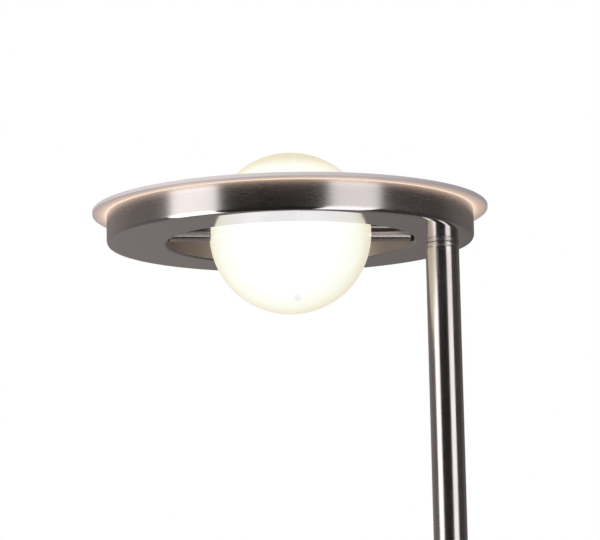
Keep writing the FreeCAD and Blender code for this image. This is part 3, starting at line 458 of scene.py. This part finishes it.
def moulded(name, colour, roughness=0.5, grains=2500.0, strength=0.12, bump=0.01, **constants):
    """Plastic, rubber, paint or cast metal with an even grain."""
    values = {"Colour": colour, "Roughness": roughness, "Grains Per Metre": grains, "Strength": strength}
    return new_material(name, grain, bump=bump, values=values, **constants)


pole_centre = (pole_x, 0.0, 0.0)
axle_centre = (0.0, 0.0, axle_height)
ring_nickel = brushed("ring_nickel", lines=1300.0, turns=4.0, roughness=0.27)
# The hole's wall is the band's nickel tinted browner: a painted reflection of the globe's warm light in it.
wall_nickel_painted_warmth = brushed("wall_nickel_painted_warmth", colour=(0.66, 0.58, 0.53, 1.0), lines=1300.0, turns=4.0, roughness=0.42,
                      stretch=0.6)
pole_nickel = brushed("pole_nickel", pole_centre, lines=1500.0, turns=0.6, roughness=0.24, depth=0.08,
                      bump=0.003, stretch=0.7)
rod_nickel = brushed("rod_nickel", axle_centre, "X", lines=1500.0, turns=0.5, roughness=0.22, depth=0.08,
                     stretch=0.85)
base_nickel = brushed("base_nickel", lines=1100.0, turns=4.0, roughness=0.32)
print(len(bpy.data.materials), "materials so far")

# %% [markdown]
# ## Modelling turned pieces
# Most pieces are round. Each could be a primitive with bevels, but a lathe is closer to how they are made:
# a closed outline is drawn on one side of the axis, its corners are rounded, and it is spun. Smooth shading
# would bend the light on wide flat faces, so each long edge of the outline first gets a vertex close to
# both of its ends.

# %% Helpers for turned pieces
GUARD = 0.12 * MM               # from an edge's end to its extra vertex
SEGMENT = 0.25 * MM             # of rounding to each segment of a corner
LEAST_SEGMENTS, MOST_SEGMENTS = 3, 10
SAME_PLACE = 1e-7               # metres between vertices that are merged


def guard_flats(bm):
    """Adds a vertex near both ends of each long outline edge."""
    for edge in bm.edges[:]:
        length = edge.calc_length()
        if length > 5 * GUARD:
            start, end = edge.verts
            first = bmesh.utils.edge_split(edge, start, GUARD / length)[1]
            rest = next(e for e in first.link_edges if e.other_vert(first) == end)
            bmesh.utils.edge_split(rest, end, GUARD / rest.calc_length())


def outline(points):
    """A closed outline. Each point is radius, height and the rounding of its corner, in metres."""
    bm = bmesh.new()
    corners = [bm.verts.new((radius, 0, height)) for radius, height, _ in points]
    for first, second in zip(corners, corners[1:] + corners[:1]):
        bm.edges.new((first, second))
    for corner, (_, _, rounding) in zip(corners, points):
        if rounding:
            segments = min(max(LEAST_SEGMENTS, round(rounding / SEGMENT)), MOST_SEGMENTS)
            bmesh.ops.bevel(bm, geom=[corner], offset=rounding, offset_type="OFFSET", segments=segments,
                            profile=0.5, affect="VERTICES", material=-1)
    return bm


def spin(bm, steps):
    """Turns an outline into a solid of revolution about Z."""
    guard_flats(bm)
    bmesh.ops.spin(bm, geom=bm.verts[:] + bm.edges[:], cent=(0, 0, 0), axis=(0, 0, 1), dvec=(0, 0, 0),
                   angle=2 * math.pi, steps=steps, use_merge=True, use_duplicate=False, use_normal_flip=False)
    bmesh.ops.remove_doubles(bm, verts=bm.verts[:], dist=SAME_PLACE)
    bmesh.ops.recalc_face_normals(bm, faces=bm.faces[:])
    return bm


def finish_piece(name, bm, materials, body, nodes):
    """Writes a bmesh to a smooth object that rides on a body and stands for its nodes."""
    mesh = bpy.data.meshes.new(name)
    bm.to_mesh(mesh)
    bm.free()
    mesh.shade_smooth()
    for material in materials if isinstance(materials, (list, tuple)) else [materials]:
        mesh.materials.append(material)
    piece = bpy.data.objects.new(name, mesh)
    bpy.context.scene.collection.objects.link(piece)
    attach(piece, body)
    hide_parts(*nodes)
    print(name, len(mesh.polygons), "faces")


def turned(name, points, material, body, nodes, place=None, steps=160):
    """A piece spun from its outline about Z, then moved to its place."""
    bm = spin(outline(points), steps)
    if place is not None:
        bmesh.ops.transform(bm, matrix=place, verts=bm.verts[:])
    finish_piece(name, bm, material, body, nodes)


# %% [markdown]
# ## The ring
# The head's ring is a pressed channel. Its band is brushed. Its underside is plated smooth and mirrors the
# globe and the pole, and it curls up a little before the edge, which bends the pole's mirror image. One
# bevel could round the corner, but its reflections show three parts: a lip under the band, a tight nose and
# a wide, shallow curl. So the outline has a corner for each, and each part's radius and slope give the
# length that its corner takes.

# %% Turn the ring
SHEET = 1.2 * MM
FLANGE_OUT, FLANGE_IN = 5.0 * MM, 9.0 * MM
EDGE = 0.25 * MM
HOLE_CORNER = 1.8 * MM
LIP, NOSE, CURL = 5.0 * MM, 0.8 * MM, 30.0 * MM             # radii, from the band inwards
LIP_TILT, CURL_TILT = math.radians(57), math.radians(9)     # the surface's slope where the radii meet
STRAIGHT = 1.02                 # length of a straight part against what the rounding takes off it
RING_STEPS = 320
BAND, UNDERSIDE, HOLE_WALL = 0, 1, 2    # the ring's materials
FACES_DOWN, FACES_AXIS = 0.2, 0.5       # how much of a face's normal points there, at least

smooth_plating = {"Colour": (0.655, 0.635, 0.65, 1), "Roughness": 0.09, "Lines Per Metre": 900.0,
                  "Turns": 3.0, "Depth": 0.02}
underside = new_material("ring_underside", brushing, bump=0.0006, values=smooth_plating, Metallic=1.0)
lip_end, nose_end, curl_end = [radius * math.tan(turn / 2) for radius, turn in (
    (LIP, math.pi / 2 - LIP_TILT), (NOSE, LIP_TILT - CURL_TILT), (CURL, CURL_TILT))]
lip, curl = STRAIGHT * (lip_end + nose_end), STRAIGHT * (nose_end + curl_end)
nose_radius = ring_radius - lip * math.cos(LIP_TILT)
nose_low = ring_low + curl * math.sin(CURL_TILT)
lip_low = nose_low + lip * math.sin(LIP_TILT)
curl_radius = nose_radius - curl * math.cos(CURL_TILT)
outer_wall, inner_wall, floor_top = ring_radius - SHEET, hole_radius + SHEET, ring_low + SHEET
ring = spin(outline([
    (hole_radius, ring_low, HOLE_CORNER), (curl_radius, ring_low, curl_end),
    (nose_radius, nose_low, nose_end), (ring_radius, lip_low, lip_end), (ring_radius, ring_high, EDGE),
    (ring_radius - FLANGE_OUT, ring_high, EDGE), (ring_radius - FLANGE_OUT, ring_high - SHEET, EDGE),
    (outer_wall, ring_high - SHEET, 0), (outer_wall, lip_low + lip_end, 0),
    (nose_radius - SHEET, nose_low + SHEET, 0), (curl_radius - curl_end, floor_top, 0),
    (inner_wall + HOLE_CORNER, floor_top, 0), (inner_wall, floor_top + HOLE_CORNER, 0),
    (inner_wall, ring_high - SHEET, 0),
    (hole_radius + FLANGE_IN, ring_high - SHEET, EDGE), (hole_radius + FLANGE_IN, ring_high, EDGE),
    (hole_radius, ring_high, EDGE)]), RING_STEPS)
for face in ring.faces:
    centre = face.calc_center_median()
    facing_axis = -face.normal.xy.dot(centre.xy.normalized())
    face.material_index = BAND
    if -face.normal.z > FACES_DOWN and centre.z < lip_low + lip_end:
        face.material_index = UNDERSIDE
    if centre.xy.length < hole_radius + EDGE and facing_axis > FACES_AXIS:
        face.material_index = HOLE_WALL
finish_piece("ring", ring, [ring_nickel, underside, wall_nickel_painted_warmth], "stand", ["ring_tray"])

# %% [markdown]
# ## The glowing plate
# The frosted plate on top is wider than the ring. Its light comes up through the ring, so it is brightest
# where it meets the band and fades to a greyish pink at the rim. The light of a plate like this could be a
# lamp below a translucent sheet. An emission that depends on the distance from the axis gives the same look
# with no noise.

# %% Turn the glowing plate
PLATE_EDGE = 0.8 * MM

plate_in, plate_radius = reach("diffuser_plate")
plate_low, plate_high = low("diffuser_plate"), high("diffuser_plate")

glow, given, result = new_group(
    "plate_glow", (("Vector", VECTOR, None), ("Inner", NUMBER, 0.1), ("Outer", NUMBER, 0.15)),
    (("Colour", COLOUR), ("Roughness", NUMBER), ("Height", NUMBER), ("Light", COLOUR)))
parts = add(glow, "ShaderNodeSeparateXYZ", {0: given["Vector"]}).outputs
flat = add(glow, "ShaderNodeCombineXYZ", {0: parts["X"], 1: parts["Y"]}).outputs[0]
far = add(glow, "ShaderNodeVectorMath", {0: flat}, operation="LENGTH").outputs["Value"]
share = add(glow, "ShaderNodeMapRange",
            {"Value": far, "From Min": given["Inner"], "From Max": given["Outer"]}).outputs[0]
GLOW_STOPS = ((0.0, (0.86, 0.76, 0.52)), (0.10, (0.74, 0.58, 0.42)), (0.35, (0.48, 0.325, 0.23)),
              (0.60, (0.33, 0.225, 0.17)), (0.85, (0.22, 0.150, 0.115)),
              (1.0, (0.065, 0.052, 0.052)))     # share of the way from the band to the rim, light
FROST_DARK, FROST_PALE = (0.62, 0.575, 0.585, 1), (0.68, 0.635, 0.645, 1)
FROST_GRAINS, FROST_ROUGHNESS = 900.0, (0.42, 0.5)
frost = add(glow, "ShaderNodeTexNoise",
            {"Vector": given["Vector"], "Scale": FROST_GRAINS, "Detail": 2.0}).outputs["Fac"]
glow.links.new(colour_ramp(glow, share, GLOW_STOPS), result["Light"])
glow.links.new(blend_colours(glow, frost, FROST_DARK, FROST_PALE), result["Colour"])
glow.links.new(ramp(glow, frost, *NOISE_SPAN, *FROST_ROUGHNESS), result["Roughness"])
glow.links.new(frost, result["Height"])


def lit(name, group, strength, centre=(0.0, 0.0, 0.0), values=None):
    """A material that also glows, with the group's light as its emission colour."""
    material = new_material(name, group, centre, bump=0.004, values=values)
    tree = material.node_tree
    shader = tree.nodes["Principled BSDF"]
    finish = next(n for n in tree.nodes if n.type == "GROUP")
    tree.links.new(finish.outputs["Light"], shader.inputs["Emission Color"])
    shader.inputs["Emission Strength"].default_value = strength
    return material


GLOW_BEHIND_BAND = 0.5 * MM
glow_start = ring_radius - GLOW_BEHIND_BAND
plate_glow = lit("plate_frosted", glow, 1.0, values={"Inner": glow_start, "Outer": plate_radius})
turned("diffuser", [(plate_in, plate_low, EDGE), (plate_radius, plate_low, PLATE_EDGE),
                    (plate_radius, plate_high, PLATE_EDGE), (plate_in, plate_high, EDGE)],
       plate_glow, "stand", ["diffuser_plate"], steps=RING_STEPS)

# %% [markdown]
# The plate's inner edge is hidden by a black ring. Its section is an angle: a short leg beside the hole and
# a flat lap on the plate.

# %% Turn the black trim
black = moulded("satin_black", (0.012, 0.011, 0.012, 1), roughness=0.38, strength=0.3)
trim_out = reach("diffuser_trim")[1]
trim_high = high("diffuser_trim")
TRIM_LEG, TRIM_TOP = 1.6 * MM, 1.0 * MM
TRIM_SHARP, TRIM_ROUND = 0.1 * MM, 0.4 * MM
leg_out, lap_low = hole_radius + TRIM_LEG, trim_high - TRIM_TOP
turned("trim", [(hole_radius, ring_high, EDGE), (leg_out, ring_high, EDGE), (leg_out, lap_low, 0),
                (trim_out, lap_low, TRIM_SHARP), (trim_out, trim_high, EDGE),
                (hole_radius, trim_high, TRIM_ROUND)],
       black, "stand", ["diffuser_trim"], steps=256)

# %% [markdown]
# ## The globe
# The globe is two opal half shells that meet at a seam square to the rod. A sphere primitive with its poles
# on the rod's axis is cut at the seam and again where the rod goes through, and then it gets its wall. Its
# light is whitest on the side turned to the front, a little left and down, and dimmer and warmer round to the
# back: painted shade, which darkens the globe towards its outline as seen from the front. Towards the top
# it is dimmer and creamy: painted shade as well.

# %% Build the opal globe
GLOBE_WALL = 3.0 * MM
SEAM_EDGE = 0.3 * MM
ROD_CLEARANCE = 0.05 * MM
ON_PLANE = 1e-6                 # metres off the cutting plane that still count as on it
rod_radius = (high("globe_axle", 1) - low("globe_axle", 1)) / 2
rod_hole = rod_radius + ROD_CLEARANCE

opal, given, result = new_group(
    "opal_light", (("Vector", VECTOR, None),),
    (("Colour", COLOUR), ("Roughness", NUMBER), ("Height", NUMBER), ("Light", COLOUR)))
around = add(opal, "ShaderNodeVectorMath", {0: given["Vector"]}, operation="NORMALIZE").outputs["Vector"]
LIT_SIDE_LEFT, LIT_SIDE_DOWN = math.radians(10), math.radians(13)   # how far the brightest side of the painted light is turned from -Y, at rest
LIT_SIDE = Vector((-math.sin(LIT_SIDE_LEFT), -1.0, -math.sin(LIT_SIDE_DOWN))).normalized()
# The light dims and warms away from that side: painted shade, which darkens the globe towards its outline
# seen from the front.
SHELL_STOPS = ((-1.0, (0.62, 0.57, 0.45)), (-0.2, (0.64, 0.57, 0.45)), (0.20, (0.77, 0.69, 0.57)),
               (0.35, (0.82, 0.80, 0.63)), (0.46, (0.88, 0.88, 0.76)), (0.56, (0.92, 0.92, 0.83)),
               (0.70, (0.96, 0.96, 0.91)), (0.90, (1.00, 1.00, 0.99)))      # cosine of the angle, light
CAP = (0.70, 0.95)              # sines of the heights where the painted shade on top begins and is full
CAP_SHARE, CAP_SHADE = 0.85, (0.68, 0.64, 0.43, 1)
MILK_DARK, MILK_PALE = (0.12, 0.118, 0.11, 1), (0.135, 0.132, 0.125, 1)
MILK_CLOUDS, MILK_ROUGHNESS = 400.0, (0.22, 0.28)
facing = add(opal, "ShaderNodeVectorMath", {0: around, 1: LIT_SIDE}, operation="DOT_PRODUCT").outputs["Value"]
halved = calc(opal, "MULTIPLY_ADD", facing, 0.5, 0.5)
shone = colour_ramp(opal, halved, [((value + 1) / 2, colour) for value, colour in SHELL_STOPS])
# Painted shade on top: the light turns dimmer and creamier towards the top.
cap = ramp(opal, add(opal, "ShaderNodeSeparateXYZ", {0: around}).outputs["Z"], *CAP, 0.0, CAP_SHARE)
shone = blend_colours(opal, cap, shone, CAP_SHADE)
milk = add(opal, "ShaderNodeTexNoise",
           {"Vector": given["Vector"], "Scale": MILK_CLOUDS, "Detail": 2.0}).outputs["Fac"]
opal.links.new(shone, result["Light"])
opal.links.new(blend_colours(opal, milk, MILK_DARK, MILK_PALE), result["Colour"])
opal.links.new(ramp(opal, milk, *NOISE_SPAN, *MILK_ROUGHNESS), result["Roughness"])
opal.links.new(milk, result["Height"])
opal_lit = lit("opal_lit", opal, 1.0, axle_centre)


def globe_half(name, side, node):
    """A half shell: side is -1 for the left one and 1 for the right one."""
    bm = bmesh.new()
    bmesh.ops.create_uvsphere(bm, u_segments=160, v_segments=96, radius=globe_radius)
    bmesh.ops.rotate(bm, cent=(0, 0, 0), matrix=Matrix.Rotation(math.pi / 2, 3, "Y"), verts=bm.verts[:])
    mouth = math.sqrt(globe_radius ** 2 - rod_hole ** 2)
    for offset, keep in ((0.0, side), (side * mouth, -side)):
        bmesh.ops.bisect_plane(bm, geom=bm.verts[:] + bm.edges[:] + bm.faces[:], dist=ON_PLANE,
                               plane_co=(offset, 0, 0), plane_no=(keep, 0, 0), clear_inner=True)
    bmesh.ops.recalc_face_normals(bm, faces=bm.faces[:])
    bmesh.ops.solidify(bm, geom=bm.faces[:], thickness=GLOBE_WALL)
    bmesh.ops.recalc_face_normals(bm, faces=bm.faces[:])
    outer = [e for e in bm.edges if all(v.co.length > globe_radius - GLOBE_WALL / 2 for v in e.verts)]
    seam = [e for e in outer if all(abs(v.co.x) < ON_PLANE for v in e.verts)]
    bmesh.ops.bevel(bm, geom=seam, offset=SEAM_EDGE, offset_type="OFFSET", segments=2, profile=0.5,
                    affect="EDGES", material=-1)
    bmesh.ops.translate(bm, vec=axle_centre, verts=bm.verts[:])
    finish_piece(name, bm, opal_lit, "reading_globe", [node])


globe_half("globe_shell_left", -1, "globe_left")
globe_half("globe_shell_right", 1, "globe_right")

# %% [markdown]
# ## The rod and the small knob
# The rod is turned from one bar: thick between the bushes, thin inside them. The knob on the globe points
# forwards and down at rest, so its outline is spun upright and then turned to that angle.

# %% Turn the rod and the knob
SPIGOT, ROD_BORE = 4.0 * MM, 2.5 * MM           # radii
BUSH_GAP = 0.3 * MM
BORE_EDGE, SPIGOT_EDGE, SHOULDER_EDGE = 0.2 * MM, 0.4 * MM, 0.5 * MM
half_length = high("globe_axle", 0)
shoulder = -high("axle_bush_left", 0) - BUSH_GAP

along_rod = Matrix.Translation(axle_centre) @ Matrix.Rotation(math.pi / 2, 4, "Y")
turned("rod", [(ROD_BORE, -half_length, BORE_EDGE), (SPIGOT, -half_length, SPIGOT_EDGE),
               (SPIGOT, -shoulder, 0), (rod_radius, -shoulder, SHOULDER_EDGE),
               (rod_radius, shoulder, SHOULDER_EDGE), (SPIGOT, shoulder, 0),
               (SPIGOT, half_length, SPIGOT_EDGE), (ROD_BORE, half_length, BORE_EDGE)],
       rod_nickel, "reading_globe", ["globe_axle"], along_rod, steps=96)

AIM = math.radians(32.0)                        # off straight down, towards the front
KNOB_RADIUS, KNOB_HEIGHT, STEM = 3.2 * MM, 4.6 * MM, 1.5 * MM
STEM_INSIDE, KNOB_GAP = 2.5 * MM, 0.1 * MM      # past the globe's wall inside, and off it outside
KNOB_FOOT, KNOB_CROWN = 0.4 * MM, 2.4 * MM      # roundings
KNOB_GLOW = 0.86                                # against the globe's own light
# The knob is no lamp, but the globe's light comes through it: its glow is painted light, the globe's light
# pattern at a lower strength.
knob_painted_glow = lit("knob_painted_glow", opal, KNOB_GLOW, axle_centre)
stem_end, knob_low = globe_radius - GLOBE_WALL - STEM_INSIDE, globe_radius + KNOB_GAP
knob_high = globe_radius + KNOB_HEIGHT
pointing = Matrix.Translation(axle_centre) @ Matrix.Rotation(math.pi - AIM, 4, "X")
turned("small_knob", [(0, stem_end, 0), (STEM, stem_end, 0), (STEM, knob_low, 0),
                      (KNOB_RADIUS, knob_low, KNOB_FOOT), (KNOB_RADIUS, knob_high, KNOB_CROWN),
                      (0, knob_high, 0)],
       knob_painted_glow, "reading_globe", ["aiming_knob"], pointing, steps=64)

# %% [markdown]
# ## The pole
# Three tubes stand on each other. Their ends are finely rounded, so each joint shows as a thin line. The
# short ring under the head has its own softer finish.

# %% Turn the pole
POLE_WALL = 1.5 * MM
JOINT_EDGE, TUBE_BORE_EDGE = 0.35 * MM, 0.1 * MM
POLE_STEPS = 128
on_pole = Matrix.Translation((pole_x, 0, 0))


def tube(node):
    """One tube of the pole."""
    bottom, top, bore = low(node), high(node), pole_radius - POLE_WALL
    turned(node + "_tube", [(bore, bottom, TUBE_BORE_EDGE), (pole_radius, bottom, JOINT_EDGE),
                            (pole_radius, top, JOINT_EDGE), (bore, top, TUBE_BORE_EDGE)],
           pole_nickel, "stand", [node], on_pole, steps=POLE_STEPS)


for node in ("pole_lower", "pole_middle", "pole_upper"):
    tube(node)

ferrule_nickel = brushed("ferrule_nickel", pole_centre, lines=900.0, turns=0.5, roughness=0.34, stretch=0.5)
FERRULE_BORE, FERRULE_EDGE = 5.05 * MM, 0.5 * MM
ferrule_low, ferrule_high = low("pole_ferrule"), high("pole_ferrule")
turned("ferrule", [(FERRULE_BORE, ferrule_low, 0), (pole_radius, ferrule_low, FERRULE_EDGE),
                   (pole_radius, ferrule_high, FERRULE_EDGE), (FERRULE_BORE, ferrule_high, 0)],
       ferrule_nickel, "stand", ["pole_ferrule"], on_pole, steps=POLE_STEPS)

# %% [markdown]
# ## The base
# The base is a spun shell over a heavy plate. It stands on a rubber ring, and a turned collar hides the
# foot of the pole.

# %% Turn the base
COVER_WALL, COVER_CORNER = 1.2 * MM, 4.0 * MM
base_radius = reach("base_cover")[1]
base_low, base_high = low("base_cover"), high("base_cover")
inner_radius, inner_high = base_radius - COVER_WALL, base_high - COVER_WALL
turned("base_shell", [(0, inner_high, 0), (inner_radius, inner_high, COVER_CORNER - COVER_WALL),
                      (inner_radius, base_low, EDGE), (base_radius, base_low, EDGE),
                      (base_radius, base_high, COVER_CORNER), (0, base_high, 0)],
       base_nickel, "stand", ["base_cover"], steps=RING_STEPS)

collar_nickel = brushed("collar_nickel", pole_centre, lines=1300.0, turns=0.8, roughness=0.3)
COLLAR_EDGE, COLLAR_BORE_EDGE = 1.2 * MM, 0.3 * MM
collar_in, collar_out = reach("base_collar", (pole_x, 0))
collar_low, collar_high = low("base_collar"), high("base_collar")
turned("collar", [(collar_in, collar_low, 0), (collar_out, collar_low, EDGE),
                  (collar_out, collar_high, COLLAR_EDGE), (collar_in, collar_high, COLLAR_BORE_EDGE)],
       collar_nickel, "stand", ["base_collar"], on_pole, steps=POLE_STEPS)

rubber = moulded("rubber", (0.018, 0.018, 0.018, 1), roughness=0.75, grains=3000.0, strength=0.3, bump=0.03)
SOLE_EDGE, FOOT_TOP_EDGE = 0.6 * MM, 0.2 * MM
foot_in, foot_out = reach("foot_ring")
foot_low, foot_high = low("foot_ring"), high("foot_ring")
turned("foot", [(foot_in, foot_low, SOLE_EDGE), (foot_out, foot_low, SOLE_EDGE),
                (foot_out, foot_high, FOOT_TOP_EDGE), (foot_in, foot_high, FOOT_TOP_EDGE)],
       rubber, "stand", ["foot_ring"], steps=256)

# %% [markdown]
# ## The control box
# The box on the pole carries the two dimmers. A block hollowed out would need a second shape to cut with. A
# cube with beveled edges and an open back becomes the same shell with solidify.

# %% Model the control box
BOX_FILLET, BOX_WALL = 3.0 * MM, 2.0 * MM
box_low, box_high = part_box("control_cover")
box_size, box_middle = box_high - box_low, (box_high + box_low) / 2
shell_nickel = brushed("shell_nickel", tuple(box_middle), lines=1400.0, turns=1.0, roughness=0.3, stretch=0.5)

bm = bmesh.new()
bmesh.ops.create_cube(bm, size=1.0)
bmesh.ops.scale(bm, vec=box_size, verts=bm.verts[:])
bmesh.ops.delete(bm, geom=[f for f in bm.faces if f.normal.y > 0.5], context="FACES_ONLY")
rounded = [e for e in bm.edges if not all(v.co.y > 0 for v in e.verts)]
bmesh.ops.bevel(bm, geom=rounded, offset=BOX_FILLET, offset_type="OFFSET", segments=8, profile=0.5,
                affect="EDGES", material=-1)
bmesh.ops.recalc_face_normals(bm, faces=bm.faces[:])
if sum(f.normal.dot(f.calc_center_median()) for f in bm.faces) < 0:
    bmesh.ops.reverse_faces(bm, faces=bm.faces[:])
bmesh.ops.solidify(bm, geom=bm.faces[:], thickness=BOX_WALL)
bmesh.ops.translate(bm, vec=box_middle, verts=bm.verts[:])
finish_piece("control_shell", bm, shell_nickel, "stand", ["control_cover"])

# %% [markdown]
# Each dimmer knob is a short cylinder with a fluted rim. The flutes could be cut one by one. It is shorter to
# give the cylinder a few columns of vertices for each flute and to move them inwards along a wave.

# %% Model the dimmer knobs
FLUTES = 36
COLUMNS = 6                     # columns of vertices to each flute
FLUTE_DEPTH = 0.35 * MM
RIM_ROUNDING = 0.8 * MM
FACE_INSET, FACE_STEP, FACE_EDGE = 1.6 * MM, 0.25 * MM, 0.3 * MM
FLUTED = 0.3 * MM               # how far in from the rim the flutes reach


def dimmer_knob(name):
    """The knob of one dimmer, made upright and then laid down so that its face is at the front."""
    node = name + "_knob"
    centre = Vector((middle(node, 0), 0, middle(node)))
    radius = (high(node, 0) - low(node, 0)) / 2
    front, rear = low(node, 1), high(node, 1)
    bm = bmesh.new()
    bmesh.ops.create_cone(bm, cap_ends=True, segments=FLUTES * COLUMNS, radius1=radius, radius2=radius,
                          depth=rear - front)
    caps = [f for f in bm.faces if abs(f.normal.z) > 0.9]
    edges = [e for f in caps for e in f.edges]
    bmesh.ops.bevel(bm, geom=edges, offset=RIM_ROUNDING, offset_type="OFFSET", segments=4, profile=0.5,
                    affect="EDGES", material=-1)
    top = max((f for f in bm.faces if f.normal.z > 0.9), key=lambda f: f.calc_area())
    bmesh.ops.inset_region(bm, faces=[top], thickness=FACE_INSET, depth=0)
    bmesh.ops.inset_region(bm, faces=[top], thickness=FACE_STEP, depth=-FACE_STEP)
    bmesh.ops.inset_region(bm, faces=[top], thickness=FACE_EDGE, depth=0)
    rim = [v for v in bm.verts if math.hypot(v.co.x, v.co.y) > radius - FLUTED]
    for vertex in rim:
        turn = math.atan2(vertex.co.y, vertex.co.x) / (2 * math.pi) * FLUTES
        dip = FLUTE_DEPTH * max(0.0, math.cos(2 * math.pi * turn)) ** 2
        far = math.hypot(vertex.co.x, vertex.co.y)
        vertex.co.x *= (far - dip) / far
        vertex.co.y *= (far - dip) / far
    bmesh.ops.rotate(bm, cent=(0, 0, 0), matrix=Matrix.Rotation(math.pi / 2, 3, "X"), verts=bm.verts[:])
    bmesh.ops.translate(bm, vec=(centre.x, (front + rear) / 2, centre.z), verts=bm.verts[:])
    metal = brushed(name + "_knob_metal", (centre.x, 0, centre.z), "Y", colour=(0.72, 0.70, 0.68, 1),
                    lines=1600.0, turns=0.8, roughness=0.28, stretch=0.5)
    finish_piece(name + "_dial", bm, metal, name + "_dial", [node])


for name in ("uplight", "reading"):
    dimmer_knob(name)

# %% [markdown]
# ## Finishes of the pieces that keep their own shape
# The rest of the lamp is small or inside it: bushes, boards, screws, drivers, the rod's nuts and washers.
# Their shapes are already right. The record says which finish each of them has, so one table from finish to
# material covers them all.

# %% Give the other pieces their finishes
zinc = moulded("bright_zinc", (0.62, 0.63, 0.66, 1), roughness=0.3, grains=900.0, strength=0.15, Metallic=1.0)
FINISHES = {
    "brushed_nickel": pole_nickel,
    "base_shell": base_nickel,
    "opal_globe": opal_lit,
    "frosted_disc": plate_glow,
    "black_trim": black,
    "small_knob": knob_painted_glow,
    "rubber": rubber,
    "cast_iron": moulded("black_iron", (0.03, 0.03, 0.032, 1), roughness=0.6, grains=500.0, strength=0.3,
                         bump=0.25),
    "zinc_steel": zinc,
    "black_plastic": moulded("black_plastic", (0.02, 0.02, 0.022, 1), roughness=0.5, strength=0.25),
    "control_shell": shell_nickel,
    "knob_metal": zinc,
    "driver_case": moulded("driver_case", (0.78, 0.78, 0.75, 1), roughness=0.55, strength=0.06),
    "lead_sleeve": moulded("lead_sleeve", (0.03, 0.03, 0.03, 1), roughness=0.6, strength=0.2),
    "white_board": moulded("white_board", (0.85, 0.86, 0.84, 1), roughness=0.35, grains=1200.0,
                           strength=0.06),
    "led_chip": moulded("led_chip", (0.95, 0.72, 0.22, 1), roughness=0.25, strength=0.1, Coat_Weight=0.4),
    "sheet_aluminium": moulded("sheet_aluminium", (0.75, 0.76, 0.78, 1), roughness=0.38, grains=700.0,
                               Metallic=1.0),
    "clear_ring": moulded("clear_ring", (0.9, 0.9, 0.88, 1), roughness=0.2, strength=0.04, Coat_Weight=0.3),
}
for row in frame["record"]["subparts"]:
    for holder in frame["nodes"][row["node"]].material_slots:
        holder.material = FINISHES[row["material_slot"]]
plain = [name for name, piece in frame["nodes"].items() if not piece.hide_render]
print(len(plain), "pieces keep their own shape")
